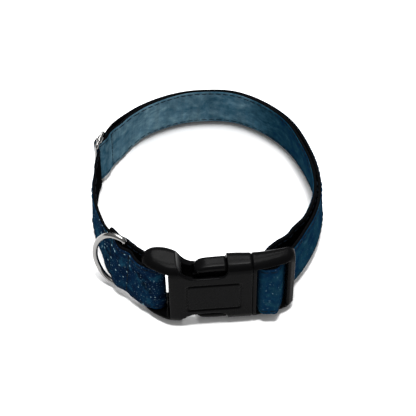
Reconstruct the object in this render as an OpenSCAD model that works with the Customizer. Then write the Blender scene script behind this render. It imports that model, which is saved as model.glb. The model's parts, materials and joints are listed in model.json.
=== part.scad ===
// Adjustable flat dog collar standing on its edge.
// One length of printed webbing runs from the buckle socket, round the neck,
// through the metal slider, over the plug and back to the slider.
// +X runs along the buckle, +Y from the buckle to the back of the neck, +Z is up.

/* [Neck loop] */
// Width of the loop between the centre lines of the webbing
loop_w = 94.6; // [88:0.2:110]
// Depth of the loop, front to back, between the centre lines
loop_d = 102; // [96:0.5:118]
// How far the back left corner of the loop bulges, as a fraction of the radius
corner_fullness = 0.025; // [0:0.005:0.06]
// Inward lean of the upper edge of the webbing, half of the whole lean
edge_lean = 1.9; // [0:0.1:2.4]
// How far the inner layer rides above the outer layer at the back
layer_step = 2; // [0:0.1:2.5]

/* [Webbing] */
// Width of the webbing
web_w = 25; // [24:0.5:25.5]
// Thickness of the black webbing
web_t = 1.2; // [1:0.05:1.25]
// Thickness of the printed ribbon sewn to the webbing
ribbon_t = 0.3; // [0.2:0.05:0.35]
// Bare edge of webbing beside the printed ribbon
ribbon_edge = 0.6; // [0.4:0.1:1.5]
// Clearance between the webbing and what it wraps
wrap_gap = 0.25; // [0.2:0.05:0.3]

/* [Buckle] */
// Thickness of the buckle at its throat
buckle_t = 9.6; // [9.2:0.1:11]
// How far the buckle sits inside the front of the loop
buckle_inset = 4; // [3.6:0.1:4.6]
// Distance from the middle of the loop to the seam between the halves
seam_x = 13.8; // [12:0.2:15]
// Corner radius of the buckle's long edges
edge_r = 4; // [3.2:0.1:4.2]
// Wall at the front and the back of the socket
shell_wall = 1.9; // [1.4:0.1:2.2]
// Height of the rails above and below the webbing
rail_h = 3; // [2.6:0.1:3.1]
// Room between the webbing's edges and the rails
web_side_gap = 0.5; // [0.4:0.1:0.8]

/* [Socket] */
// Length of the socket body from the seam to the webbing slot
socket_l = 32.5; // [31:0.5:35]
// Length of the webbing slot
slot_l = 2.4; // [2.3:0.1:3]
// Width of the end bar along the buckle
end_bar_w = 7.5; // [7:0.1:8.5]
// Thickness of the end bar
end_bar_t = 4.2; // [3.4:0.1:4.4]
// Angle of the end bar, following the neck
end_bend = 27; // [20:1:32]
// Length of the throat that holds the latch arms
throat_l = 9.6; // [9:0.1:10.4]
// Depth of the finger scallops
scallop_d = 5.8; // [5:0.1:6]
// Right hand corner radius of a scallop
scallop_r = 3.6; // [3:0.1:4.2]
// Radius of the long left hand run of a scallop
scallop_run_r = 8.4; // [7.6:0.1:9]
// Length of the straight middle of a scallop
scallop_flat = 8; // [6:0.5:8.5]
// Length of the panel outlined on the front
panel_l = 21.8; // [16:0.2:23]
// Height of the panel
panel_h = 15; // [12:0.2:17]
// Width of the groove round the panel
groove_w = 0.9; // [0.6:0.1:1.2]
// Depth of the groove
groove_d = 0.5; // [0.2:0.1:0.8]
// Distance from the seam to the panel
panel_gap = 4.2; // [3:0.2:5]
// How far the panel sits below the middle of the front
panel_low = 0.7; // [0:0.1:1]

/* [Plug] */
// Length of the plug frame outside the socket
plug_l = 17; // [16.5:0.1:18]
// Wall beside the seam
plug_wall = 1.6; // [1.2:0.1:1.8]
// Width of the bar that the webbing turns round
turn_bar_w = 5.4; // [4.4:0.1:5.6]
// Thickness of that bar
turn_bar_t = 3.2; // [2.6:0.1:3.4]
// Width of the outer bar
plug_bar_w = 3.7; // [3:0.1:4]
// Thickness of the outer bar
plug_bar_t = 4; // [3:0.1:4.2]
// Width of the centre tongue
tongue_w = 10; // [7:0.5:11]
// Length of the centre tongue
tongue_l = 22; // [16:0.5:24]
// Thickness of the centre tongue
tongue_t = 3; // [2:0.1:3.6]

/* [Latch arms] */
// Thickness of an arm's springy beam
beam_t = 2.4; // [1.8:0.1:2.8]
// Width of the beam through the buckle
beam_w = 4.8; // [3.6:0.1:5]
// Width of the finger pad through the buckle
pad_w = 6.8; // [6:0.1:7]
// Depth of the rounded cap on the finger pad
cap_h = 3.6; // [3:0.1:4.4]
// Width of the neck under the cap
neck_w = 3.6; // [3:0.1:4.4]
// Length of the finger pad
pad_l = 12.4; // [11:0.2:14]
// Depth of the pad's outer face below the buckle's edge
pad_sink = 0.6; // [0.3:0.1:1]
// Gap between the arm's shoulder and the throat
latch_gap = 0.4; // [0.2:0.05:0.6]
// Room each side of a pad in its pocket
pad_gap = 0.3; // [0.2:0.05:0.4]
// How far a pad's tip can be squeezed in
squeeze = 3.2; // [2.4:0.1:3.6]

/* [Leash ring] */
// Thickness of the ring's wire
ring_wire = 2.2; // [2:0.1:2.4]
// Depth of the ring from its bar to the far side, on the wire's centre line
ring_depth = 12.6; // [12:0.2:16]
// Corner radius of the ring
ring_corner_r = 8; // [6:0.5:8.5]
// Direction in which the ring points
ring_angle = 148; // [146:1:230]
// Place of the ring's bar round the loop
ring_t = 220; // [219:0.5:221]

/* [Slider] */
// Thickness of the slider's wire
slider_wire = 2; // [1.8:0.1:2.1]
// Distance between two bars of the slider
bar_pitch = 6.4; // [6.2:0.1:7]
// Room between the webbing's edges and the slider
slider_side_gap = 0.7; // [0.5:0.1:0.8]
// Place of the slider round the loop
slider_t = 155; // [153:0.5:157]

/* [Hidden] */
$fn = 40;
half_w = loop_w / 2;
half_d = loop_d / 2;
strap_t = web_t + ribbon_t;
buckle_h = web_w + 2 * (web_side_gap + rail_h);
// The collar is a slight cone, and the buckle and the slider tip back with the webbing that they carry
tilt = asin(2 * edge_lean / web_w);
slider_lean = edge_lean * 0.5;
slider_tilt = asin(2 * slider_lean / web_w);
// Middle of the buckle above the floor: the back of its curved end touches the floor
end_swell = 6.4;
buckle_mid = (buckle_h / 2 - edge_r) * cos(tilt) + (buckle_t / 2 + end_swell - edge_r) * sin(tilt) + edge_r;
// Webbing's lower edge above the floor, at the buckle and at the slider
lift_front = buckle_mid - web_w / 2 * cos(tilt);
slider_half_h = web_w / 2 + slider_side_gap + slider_wire / 2;
slider_mid = slider_half_h * cos(slider_tilt) + slider_wire / 2;
lift_slider = slider_mid - web_w / 2 * cos(slider_tilt);
buckle_y = buckle_inset - half_d;

// ---- small functions ----
function mix(a, b, k) = a + (b - a) * k;
function ease(k) = let (c = min(1, max(0, k))) c * c * (3 - 2 * c);
// Smooth run through a table of [place, value], flat beyond its ends
function keyed(tab, t, i = 0) =
    t <= tab[0][0] ? tab[0][1]
    : i > len(tab) - 2 ? tab[len(tab) - 1][1]
    : t <= tab[i + 1][0]
    ? mix(tab[i][1], tab[i + 1][1], ease((t - tab[i][0]) / (tab[i + 1][0] - tab[i][0])))
    : keyed(tab, t, i + 1);
function unit(v) = v / norm(v);
function left_of(v) = [-v[1], v[0]];
function on_circle(c, r, a) = c + r * [cos(a), sin(a)];
function arc(c, r, a0, a1, n) = [for (i = [0:n]) on_circle(c, r, a0 + (a1 - a0) * i / n)];
// Smooth curve through control points, with k steps for each span
function curve_pt(p, i, s) =
    let (n = len(p) - 1, a = p[max(0, i - 1)], b = p[i], c = p[min(n, i + 1)], d = p[min(n, i + 2)])
    b + 0.5 * s * (c - a + s * (2 * a - 5 * b + 4 * c - d + s * (3 * (b - c) + d - a)));
function curve(p, k) =
    [for (i = [0:len(p) - 2]) for (j = [0:k - 1]) curve_pt(p, i, j / k), p[len(p) - 1]];
function curve_at(tab, x, i = 0) =
    i >= len(tab) - 2 || x <= tab[i + 1][0]
    ? curve_pt([for (q = tab) q[1]], i, (x - tab[i][0]) / (tab[i + 1][0] - tab[i][0]))
    : curve_at(tab, x, i + 1);

// ---- neck loop: an oval with a fuller corner, t in degrees from +X ----
function loop_pt(t) =
    let (k = t > 90 && t < 180 ? 1 + corner_fullness * pow(sin(2 * t), 2) : 1)
    [half_w * cos(t) * k, half_d * sin(t) * k];
function loop_dir(t) = unit(loop_pt(t - 0.5) - loop_pt(t + 0.5));
function loop_off(t, o) = loop_pt(t) + o * left_of(loop_dir(t));
function loop_t(p) = let (a = atan2(p[1] / half_d, p[0] / half_w)) a < -100 ? a + 360 : a;

// ---- buckle curves: y of the front and the back face along the buckle, 0 at the seam ----
socket_end = socket_l + slot_l + end_bar_w;
function socket_front(x) = curve_at([[0, -buckle_t / 2], [socket_l - 6, -buckle_t / 2],
    [socket_l - 2.5, -buckle_t / 2 + 0.2], [socket_l, -buckle_t / 2 + 0.7],
    [socket_l + 2.5, -buckle_t / 2 + 1.9], [socket_l + 6.1, -buckle_t / 2 + 4.4],
    [socket_end, -buckle_t / 2 + 6.9]], -x);
function socket_back(x) = curve_at([[0, buckle_t / 2], [8, buckle_t / 2 + 0.7],
    [socket_l - 11, buckle_t / 2 + 0.6], [socket_l - 6, buckle_t / 2 + 1.5],
    [socket_l - 2.5, buckle_t / 2 + 4.4], [socket_l + 1.5, buckle_t / 2 + 6.1],
    [socket_l + 5.5, buckle_t / 2 + end_swell - 0.1], [socket_end, buckle_t / 2 + 4.9]], -x);
function plug_front(x) = curve_at([[0, -buckle_t / 2], [plug_l - 12.5, -buckle_t / 2 + 0.6],
    [plug_l - 5.4, -buckle_t / 2 + 2.1], [plug_l - 3, -buckle_t / 2 + 3.1],
    [plug_l - 1.4, -buckle_t / 2 + 4.2], [plug_l, -buckle_t / 2 + 5.2]], x);
function plug_back(x) = curve_at([[0, buckle_t / 2], [plug_l - 11.4, buckle_t / 2 + 0.3],
    [plug_l - 4.3, buckle_t / 2 + 1.2], [plug_l - 1.9, buckle_t / 2 + 1.6], [plug_l, buckle_t / 2 + 1.4]], x);

// ---- bars that the webbing turns round, in the loop's plan ----
function in_buckle(p) = [seam_x + p[0], buckle_y + p[1]];
end_bar = in_buckle([-socket_end + end_bar_w / 2, (socket_front(-socket_end + end_bar_w / 2)
    + socket_back(-socket_end + end_bar_w / 2)) / 2]);
function at_end_bar(u, v) =
    end_bar + u * [-cos(end_bend), sin(end_bend)] + v * [-sin(end_bend), -cos(end_bend)];
end_bar_half = (end_bar_w - end_bar_t) / 2;
end_turn_r = end_bar_t / 2 + wrap_gap + strap_t / 2;

turn_slot = strap_t + 2 * wrap_gap + 0.2;
turn_bar_x = plug_wall + turn_slot + turn_bar_w / 2;
turn_bar_y = -0.3;
turn_half = (turn_bar_w - turn_bar_t) / 2;
turn_r = turn_bar_t / 2 + wrap_gap + strap_t / 2;
plug_bar_x = plug_l - plug_bar_w / 2;
plug_bar_y = plug_front(plug_bar_x) + plug_bar_t / 2;
outer_turn_r = plug_bar_t / 2 + wrap_gap + strap_t / 2;

// Half the slider's length, in degrees round the loop
bar_span = bar_pitch / norm(loop_pt(slider_t)) * 180 / PI;
slider_c = loop_off(slider_t, -0.5);
slider_dir = loop_dir(slider_t);
function at_slider(u, v) = slider_c + u * slider_dir + v * left_of(slider_dir);
// Webbing's centre line round a slider bar: one, two and three layers out
bar_r1 = slider_wire / 2 + wrap_gap - 0.05 + strap_t / 2;
bar_r2 = bar_r1 + strap_t + 0.2;
bar_r3 = bar_r2 + strap_t + 0.2;
weave_a = asin((bar_r1 + bar_r2) / bar_pitch);
leg_a = asin((bar_r3 - bar_r1) / bar_pitch);

// ---- how the webbing stands ----
// Lower edge of the webbing above the floor, and its lean, round the loop
lift_tab = [[-60, lift_front], [-35, lift_front * 0.9], [30, 0], [125, 0], [150, lift_slider],
    [170, lift_slider], [200, lift_front], [230, lift_front]];
lean_tab = [[116, edge_lean], [140, slider_lean], [170, slider_lean], [186, edge_lean * 0.85],
    [204, edge_lean * 0.85], [220, edge_lean]];
// The lean faces out of the loop, and out of the buckle and the slider where the webbing passes them
function near(t, at, flat, soft) = ease((flat + soft - abs(t - at)) / soft);
function at_slider_bars(t) = near(t, slider_t, bar_span + 3, 8);
function at_end_loop(t) = near(t, 270, 37, 10);
function at_plug(t) = near(t, -90, 40, 16);
function lean_t(t) =
    t + at_slider_bars(t) * (slider_t - t) + at_end_loop(t) * (270 - t) + at_plug(t) * (-90 - t);
function lean_out(t) = left_of(loop_dir(lean_t(t)));
step_tab = [[-45, 0], [30, layer_step * 0.8], [90, layer_step], [118, layer_step * 0.7], [136, 0]];

// ---- the one path of the webbing: its ribbon side is on the left ----
stack_o = strap_t / 2 + 0.1;
ring_o = ring_wire / 2 + wrap_gap + strap_t / 2 - stack_o;
function bump(t) = let (k = (t - ring_t) / 6) abs(k) >= 1 ? 0 : ring_o * (1 + cos(180 * k)) / 2;
tail_t = 209;
// The webbing's dip through the slider
function weave_o(t) = -bar_r1 * ease(1 - (abs(t - slider_t) - bar_span) / 12);
function to_slider(p) = [for (q = p) at_slider(q[0], q[1])];

// Tail: inner layer of the doubled end, then round the socket's end bar
function tail_o(t) = t < ring_t ? stack_o + bump(t)
    : mix(stack_o + ring_o, end_turn_r * 0.8, ease((t - ring_t) / 7));
path_tail = concat(
    [for (t = [tail_t:1:225]) loop_off(t, -tail_o(t))],
    curve([loop_off(226, -tail_o(226)), at_end_bar(end_bar_half + 1.2, -end_turn_r),
        at_end_bar(-end_bar_half * 0.4, -end_turn_r)], 4),
    [for (a = [-90:-15:-270]) at_end_bar(-end_bar_half + end_turn_r * cos(a), end_turn_r * sin(a))]);
path_out = curve([at_end_bar(-end_bar_half * 0.2, end_turn_r), at_end_bar(end_bar_half, end_turn_r),
    at_end_bar(end_bar_half + 2.6, end_turn_r * 0.8), loop_off(227.5, stack_o + 0.25)], 4);
left_n = 66;
path_left = [for (k = [0:left_n]) let (t = mix(226.6, slider_t + bar_span + 1, k / left_n))
    loop_off(t, mix(0, stack_o, ease((t - 200) / 12)) + bump(t) + weave_o(t))];
// Weave through the slider: inside its first bar, outside the middle one, inside the last
path_weave = to_slider(concat(
    arc([-bar_pitch, 0], bar_r1, -92, -90 + weave_a, 5),
    arc([0, 0], bar_r2, 90 + weave_a, 90 - weave_a, 8),
    arc([bar_pitch, 0], bar_r1, -90 - weave_a, -88, 5)));
path_back = [for (t = [slider_t - bar_span - 1:-1.5:-47]) loop_off(t, weave_o(t))];
// Straight on from the end of the loop to the plug's outer bar
function between(a, b, n) = [for (i = [1:n]) mix(a, b, i / (n + 1))];
// Round the plug: behind its outer bar, over the turning bar and back through the slot
turn_gap = norm([plug_bar_x - turn_bar_x - turn_half, plug_bar_y - turn_bar_y]);
turn_lie = atan2(plug_bar_y - turn_bar_y, plug_bar_x - turn_bar_x - turn_half);
turn_a = asin((outer_turn_r + turn_r) / turn_gap);
plug_meet = 128;
path_reach = between(path_back[len(path_back) - 1],
    in_buckle(on_circle([plug_bar_x, plug_bar_y], outer_turn_r, plug_meet)), 3);
path_plug = [for (q = concat(
    arc([plug_bar_x, plug_bar_y], outer_turn_r, plug_meet, 90 + turn_lie + turn_a, 3),
    arc([turn_bar_x + turn_half, turn_bar_y], turn_r, turn_lie + turn_a - 90, -90, 5),
    arc([turn_bar_x - turn_half, turn_bar_y], turn_r, -90, -196, 8))) in_buckle(q)];
path_in = curve([in_buckle([turn_bar_x - turn_half - turn_r + 0.9, turn_bar_y + 2.4]),
    in_buckle([turn_bar_x - 1, turn_bar_y + 5.4]), in_buckle([turn_bar_x + 1.5, turn_bar_y + 8.8]),
    loop_off(-51, -6.4)], 4);
inner_tab = [[-51, 4.9], [-42, 3.6], [-31, 2.3], [-14, 1.8], [5, 1.2], [40, 0.8], [90, 0.5], [112, 0.5],
    [slider_t - 27, 0.5], [slider_t - 19, strap_t + 0.4]];
function inner_o(t) = weave_o(t) - strap_t - keyed(inner_tab, t);
path_inner = [for (t = [-48:1.5:slider_t - bar_span - 1]) loop_off(t, inner_o(t))];
// End loop round the slider's middle bar, then a short cut end between the layers
path_loop = to_slider(concat(
    arc([bar_pitch, 0], bar_r3, -90, -90 - leg_a, 3),
    arc([0, 0], bar_r1, -90 - leg_a, -270 - weave_a, 14),
    arc([bar_pitch, 0], bar_r2, -90 - weave_a, -90, 5)));
path_end = [for (t = [slider_t - bar_span - 1:-1.5:slider_t - bar_span - 9])
    loop_off(t, weave_o(t) - strap_t - 0.2)];

function flagged(p, f) = [for (q = p) [q[0], q[1], f]];
parts_xy = [path_tail, path_out, path_left, path_weave, concat(path_back, path_reach), path_plug, path_in,
    path_inner, path_loop, path_end];
function total(n) = n <= 0 ? 0 : len(parts_xy[n - 1]) + total(n - 1);
path = [for (k = [0:len(parts_xy) - 1]) each flagged(parts_xy[k], k < 6 ? 0 : 1)];
last = len(path) - 1;
function xy(i) = [path[i][0], path[i][1]];
function side(i) = left_of(unit(xy(min(last, i + 1)) - xy(max(0, i - 1))));
// Four corners of the webbing at one station, o0 and o1 across its thickness, e in from its edges
function station(i, o0, o1, e) =
    let (t = loop_t(xy(i)),
        n = side(i),
        lean = keyed(lean_tab, t),
        shift = lean_out(t) * lean * (1 - 2 * e / web_w),
        rise = cos(asin(2 * lean / web_w)),
        // The buckle's tilt lowers what lies behind its middle
        drop = (at_end_loop(t) + at_plug(t)) * (xy(i)[1] - buckle_y) * sin(tilt),
        z = keyed(lift_tab, t) + path[i][2] * keyed(step_tab, t) - drop,
        z0 = z + e * rise,
        z1 = z + (web_w - e) * rise)
    [concat(xy(i) + shift + n * o0, z0), concat(xy(i) + shift + n * o1, z0),
        concat(xy(i) - shift + n * o1, z1), concat(xy(i) - shift + n * o0, z1)];

module strip(i0, i1, o0, o1, e = 0) {
    rings = [for (i = [i0:i1]) station(i, o0, o1, e)];
    n = len(rings) - 1;
    sides = [for (i = [0:n - 1]) for (k = [0:3])
        let (a = i * 4 + (k + 1) % 4, b = i * 4 + k, c = b + 4, d = a + 4) each [[a, b, c], [a, c, d]]];
    caps = [[0, 1, 2], [0, 2, 3], [n * 4 + 3, n * 4 + 2, n * 4 + 1], [n * 4 + 3, n * 4 + 1, n * 4]];
    polyhedron([for (r = rings) each r], concat(sides, caps), convexity = 10);
}
// Hairline between the ribbon and the webbing that it is sewn to
sewn_gap = 0.13;
module webbing(i0, i1) {
    color("#151515") place() strip(i0, i1, -strap_t / 2, strap_t / 2 - ribbon_t);
}
module ribbon(i0, i1) {
    color("#1d4660") place() strip(i0, i1, strap_t / 2 - ribbon_t + sewn_gap, strap_t / 2, ribbon_edge);
}
// The frame's origin is under the middle of the whole collar
edges = [for (i = [0:last]) each station(i, -strap_t / 2, strap_t / 2, 0)];
mid_x = (min([for (q = edges) q[0]]) + max([for (q = edges) q[0]])) / 2;
front_reach = edge_r + (buckle_t / 2 - edge_r) * cos(tilt) + (buckle_h / 2 - edge_r) * sin(tilt);
mid_y = (buckle_y - front_reach + max([for (q = edges) q[1]])) / 2;
module place() {
    translate([-mid_x, -mid_y, 0]) children();
}
// Tips the top of a piece towards the neck, where the webbing leans out in direction v
module tipped(v, angle) {
    turn = atan2(v[1], v[0]);
    rotate([0, 0, turn]) rotate([0, -angle, 0]) rotate([0, 0, -turn]) children();
}
module in_buckle_frame() {
    place() translate([seam_x, buckle_y, buckle_mid]) tipped([0, -1], tilt) translate([0, 0, -buckle_h / 2])
        children();
}

// Stations where one run of webbing ends and the next starts
i_weave_in = total(2) + 52;
i_mid_in = total(3) + 7;
i_mid_out = total(3) + 13;
i_back = total(4) + 8;
i_right = total(4) + floor((slider_t - bar_span + 4) / 1.5);
i_wrap = total(5) + 2;
i_wrap_end = total(6) + 5;
i_inner = total(7) + 29;
i_loop = total(8) - 2;

// ---- buckle ----
// Rounded box section between two depths, as points in depth and height
function section(y0, y1, z0, z1, r, n = 4) =
    let (q = min(r, (y1 - y0) / 2 - 0.2, (z1 - z0) / 2 - 0.1))
    concat(arc([y1 - q, z1 - q], q, 0, 90, n), arc([y0 + q, z1 - q], q, 90, 180, n),
        arc([y0 + q, z0 + q], q, 180, 270, n), arc([y1 - q, z0 + q], q, 270, 360, n));
// Solid through sections, each [x, y0, y1, z0, z1]
module lofted(list, r) {
    rings = [for (s = list) [for (q = section(s[1], s[2], s[3], s[4], r)) [s[0], q[0], q[1]]]];
    m = len(rings[0]);
    n = len(rings) - 1;
    flip = list[n][0] < list[0][0];
    tri = concat(
        [for (i = [0:n - 1]) for (k = [0:m - 1])
            let (a = i * m + k, b = i * m + (k + 1) % m, c = b + m, d = a + m) each [[a, c, b], [a, d, c]]],
        [[for (k = [0:m - 1]) k]], [[for (k = [m - 1:-1:0]) n * m + k]]);
    polyhedron([for (g = rings) each g], convexity = 6,
        faces = flip ? [for (f = tri) [for (k = [len(f) - 1:-1:0]) f[k]]] : tri);
}
function end_drop(x, length, r) =
    let (d = length - x) d >= r ? 0 : r - sqrt(max(0, r * r - (r - d) * (r - d)));
module stadium(half, r, z0, z1) {
    translate([0, 0, z0]) linear_extrude(z1 - z0)
        polygon(concat(arc([half, 0], r, -90, 90, 12), arc([-half, 0], r, 90, 270, 12)));
}
// Side profile of the socket with a finger scallop along one long edge
module scallop() {
    cx = -throat_l - scallop_r;
    lx = cx - scallop_flat;
    low = scallop_d;
    a = asin((scallop_run_r - low) / scallop_run_r);
    polygon(concat([[-throat_l, -1]], [[-throat_l, low - scallop_r]],
        arc([cx, low - scallop_r], scallop_r, 0, 90, 6),
        arc([lx, low - scallop_run_r], scallop_run_r, 90, 180 - a, 10),
        [[lx - scallop_run_r * cos(a), -1]]));
}
module buckle_socket() {
    xs = concat([0, 0.5, 6, 12, 18], [for (x = [22:1.5:socket_end - 3]) x],
        [socket_end - 2.2, socket_end - 1.2, socket_end - 0.5, socket_end]);
    color("#191919") in_buckle_frame() difference() {
        lofted([for (x = xs) let (d = end_drop(x, socket_end + 0.4, 5), f = x == 0 ? 0.3 : 0)
            [-x, socket_front(-x) + f, socket_back(-x) - f, d + f, buckle_h - d - f]], edge_r);
        // Cavity for the plug
        translate([-socket_l + 3.5, -buckle_t / 2 + shell_wall, rail_h + 0.5])
            cube([socket_l, buckle_t - 2 * shell_wall, buckle_h - 2 * rail_h - 1]);
        // Pockets for the finger pads, deep enough to squeeze them
        for (m = [0, 1]) translate([0, 0, m * buckle_h]) mirror([0, 0, m])
            translate([-throat_l - pad_l - latch_gap - pad_end_gap, -pad_w / 2 - pad_gap, -1])
                cube([pad_l + latch_gap + pad_end_gap, pad_w + 2 * pad_gap, pad_low + squeeze + pad_gap + 1]);
        // Finger scallops through both faces, along the lower and the upper edge
        for (m = [0, 1]) translate([0, 0, m * buckle_h]) mirror([0, 0, m]) rotate([90, 0, 0])
            translate([0, 0, -20]) linear_extrude(40) scallop();
        // Groove round the panel
        translate([-panel_gap, -buckle_t / 2 + groove_d, buckle_h / 2 - panel_low]) rotate([90, 0, 0])
            linear_extrude(2) difference() {
                polygon(section(-panel_l, 0, -panel_h / 2, panel_h / 2, 1.6));
                offset(delta = -groove_w) polygon(section(-panel_l, 0, -panel_h / 2, panel_h / 2, 1.6));
            }
        // Room for the webbing between the rails
        difference() {
            translate([-socket_end - 5, -15, rail_h])
                cube([slot_l + end_bar_w + 5, 40, buckle_h - 2 * rail_h]);
            translate([end_bar[0] - seam_x, end_bar[1] - buckle_y, 0]) rotate([0, 0, -end_bend])
                stadium(end_bar_half, end_bar_t / 2, -1, buckle_h + 1);
        }
    }
}
module plug_frame() {
    xs = concat([0, 0.5], [for (x = [2:1.5:plug_l - 3]) x],
        [plug_l - 2.2, plug_l - 1.2, plug_l - 0.5, plug_l]);
    color("#191919") in_buckle_frame() union() {
        difference() {
            lofted([for (x = xs) let (d = end_drop(x, plug_l + 0.4, 3.6), f = x == 0 ? 0.3 : 0)
                [x, plug_front(x) + f, plug_back(x) - f, d + f, buckle_h - d - f]], edge_r);
            difference() {
                translate([plug_wall, -15, rail_h]) cube([plug_l + 5, 40, buckle_h - 2 * rail_h]);
                translate([turn_bar_x, turn_bar_y, 0]) stadium(turn_half, turn_bar_t / 2, -1, buckle_h + 1);
                translate([plug_bar_x, plug_bar_y, 0])
                    linear_extrude(buckle_h) polygon(section(-plug_bar_w / 2, plug_bar_w / 2,
                        -plug_bar_t / 2, plug_bar_t / 2, 1.5));
            }
        }
        // Base inside the throat, and the centre tongue
        base_h = buckle_h - 2 * rail_h - 1 - 2 * latch_gap;
        base_t = buckle_t - 2 * shell_wall - 2 * latch_gap;
        translate([-base_l, -base_t / 2, (buckle_h - base_h) / 2]) cube([base_l + 0.2, base_t, base_h]);
        translate([0, tongue_t / 2, buckle_h / 2]) rotate([90, 0, 0]) linear_extrude(tongue_t)
            polygon(concat([[-1, tongue_w / 2]], arc([-tongue_l + tongue_w / 2, 0], tongue_w / 2, 90, 270, 14),
                [[-1, -tongue_w / 2]]));
    }
}
// Latch arm's beam and finger pad, measured in from the buckle's edge
beam_gap = 1.2;
beam_low = rail_h + beam_gap + beam_t;
pad_low = beam_low + 0.8;
pad_end_gap = 0.6;
// The arm bends where its beam leaves the plug's base
base_l = 2;
arm_root = base_l + beam_t / 2 + 0.05;
// Arm along the upper edge: z measured up from the middle of the buckle
module latch_arm() {
    top = buckle_h / 2 - pad_sink;
    beam_z = buckle_h / 2 - beam_low;
    shoulder = -throat_l - latch_gap;
    tip = shoulder - pad_l;
    translate([0, beam_w / 2, 0]) rotate([90, 0, 0]) linear_extrude(beam_w)
        polygon(concat(arc([-arm_root, beam_z + beam_t / 2], beam_t / 2, 90, -90, 12),
            [[shoulder - 4, beam_z - 0.8], [shoulder - 4, beam_z + beam_t], [shoulder, beam_z + beam_t]]));
    // Neck that carries the pad
    translate([0, neck_w / 2, 0]) rotate([90, 0, 0]) linear_extrude(neck_w)
        polygon(concat([[shoulder, beam_z - 0.4], [shoulder, top - cap_h / 2], [tip + 2, top - cap_h / 2],
            [tip + 0.9, top - cap_h - 0.2]],
            curve([[tip + 0.9, top - cap_h - 1.4], [tip + 1.6, beam_z - 0.2], [tip + 3.2, beam_z - 0.8],
                [shoulder - 5, beam_z - 0.8]], 3)));
    // Rounded cap: each section is its distance from the shoulder, its drop and its loss of width
    lofted([for (q = [[0, 0.5, 0.4], [0.5, 0, 0], [4, 0, 0], [8, 0.2, 0], [pad_l - 2.6, 0.6, 0],
            [pad_l - 1.4, 1.1, 0.3], [pad_l - 0.5, 1.8, 0.9], [pad_l, 2.5, 1.7]])
        [shoulder - q[0], q[2] - pad_w / 2, pad_w / 2 - q[2], top - cap_h - 0.2, top - q[1]]], 1.9);
}
module latch_arm_upper() {
    color("#1b1b1b") in_buckle_frame() translate([0, 0, buckle_h / 2]) latch_arm();
}
module latch_arm_lower() {
    color("#1b1b1b") in_buckle_frame() translate([0, 0, buckle_h / 2]) mirror([0, 0, 1]) latch_arm();
}

// ---- metal ----
ring_half = web_w / 2 + 0.5 + ring_wire / 2;
ring_at = loop_pt(ring_t);
ring_lean = asin(2 * keyed(lean_tab, ring_t) / web_w);
ring_z = keyed(lift_tab, ring_t) + web_w / 2 * cos(ring_lean);
ring_leg = 2.5;
ring_lip = 0.05;
ring_cz = ring_half - ring_corner_r;
ring_back = (ring_leg * ring_leg + ring_cz * ring_cz - pow(ring_depth - ring_corner_r, 2))
    / (2 * (ring_depth - ring_corner_r - ring_leg));
ring_far_r = ring_depth + ring_back;
ring_turn = atan2(ring_cz, ring_leg + ring_back);
// Centre line of the bow, from one end of the bar to the other
ring_path = concat([[0, -ring_half]],
    arc([ring_leg, -ring_cz], ring_corner_r, -90, -ring_turn, 7),
    arc([-ring_back, 0], ring_far_r, -ring_turn + 8, ring_turn - 8, 8),
    arc([ring_leg, ring_cz], ring_corner_r, ring_turn, 90, 7), [[0, ring_half]]);
module d_ring() {
    m = 16;
    n = len(ring_path) - 1;
    across = [for (i = [0:n]) i == 0 ? [0, 1] : i == n ? [0, -1]
        : left_of(unit(ring_path[i + 1] - ring_path[i - 1]))];
    pts = [for (i = [0:n]) for (k = [0:m - 1])
        let (q = ring_path[i] + across[i] * cos(360 * k / m) * ring_wire / 2)
        [q[0], sin(360 * k / m) * ring_wire / 2, q[1]]];
    sides = [for (i = [0:n - 1]) for (k = [0:m - 1])
        let (a = i * m + k, b = i * m + (k + 1) % m, c = b + m, d = a + m) each [[a, b, c], [a, c, d]]];
    color("#b9babb") place() translate([ring_at[0], ring_at[1], ring_z]) tipped(lean_out(ring_t), ring_lean)
        rotate([0, 0, ring_angle]) union() {
        translate([0, 0, -ring_half - ring_wire / 2 - ring_lip])
            cylinder(h = 2 * (ring_half + ring_lip) + ring_wire, d = ring_wire + 2 * ring_lip);
        polyhedron(pts, concat(sides, [[for (k = [m - 1:-1:0]) k], [for (k = [0:m - 1]) n * m + k]]));
    }
}
module slider_frame() {
    color("#b9babb") place() translate([slider_c[0], slider_c[1], slider_mid])
        tipped(left_of(slider_dir), slider_tilt) rotate([0, 0, atan2(slider_dir[1], slider_dir[0])]) {
            for (u = [-1, 0, 1]) translate([u * bar_pitch, 0, -slider_half_h])
                cylinder(h = 2 * slider_half_h, d = slider_wire);
            for (m = [-1, 1]) translate([-bar_pitch, 0, m * slider_half_h]) {
                rotate([0, 90, 0]) cylinder(h = 2 * bar_pitch, d = slider_wire);
                sphere(d = slider_wire);
                translate([2 * bar_pitch, 0, 0]) sphere(d = slider_wire);
            }
        }
}

// ---- webbing and ribbon, run by run ----
module strap_left() { webbing(0, i_weave_in); }
module strap_weave_in() { webbing(i_weave_in, i_mid_in); }
module strap_weave_mid() { webbing(i_mid_in, i_mid_out); }
module strap_weave_out() { webbing(i_mid_out, i_back); }
module strap_back_outer() { webbing(i_back, i_right); }
module strap_right_outer() { webbing(i_right, i_wrap); }
module strap_plug_wrap() { webbing(i_wrap, i_wrap_end); }
module strap_right_inner() { webbing(i_wrap_end, i_inner); }
module strap_back_inner() { webbing(i_inner, i_loop); }
module strap_slider_loop() { webbing(i_loop, last); }
module ribbon_left() { ribbon(0, i_weave_in); }
module ribbon_weave_in() { ribbon(i_weave_in, i_mid_in); }
module ribbon_weave_mid() { ribbon(i_mid_in, i_mid_out); }
module ribbon_weave_out() { ribbon(i_mid_out, i_back); }
module ribbon_back_outer() { ribbon(i_back, i_right); }
module ribbon_right_outer() { ribbon(i_right, i_wrap); }
module ribbon_plug_wrap() { ribbon(i_wrap, i_wrap_end); }
module ribbon_right_inner() { ribbon(i_wrap_end, i_inner); }
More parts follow.
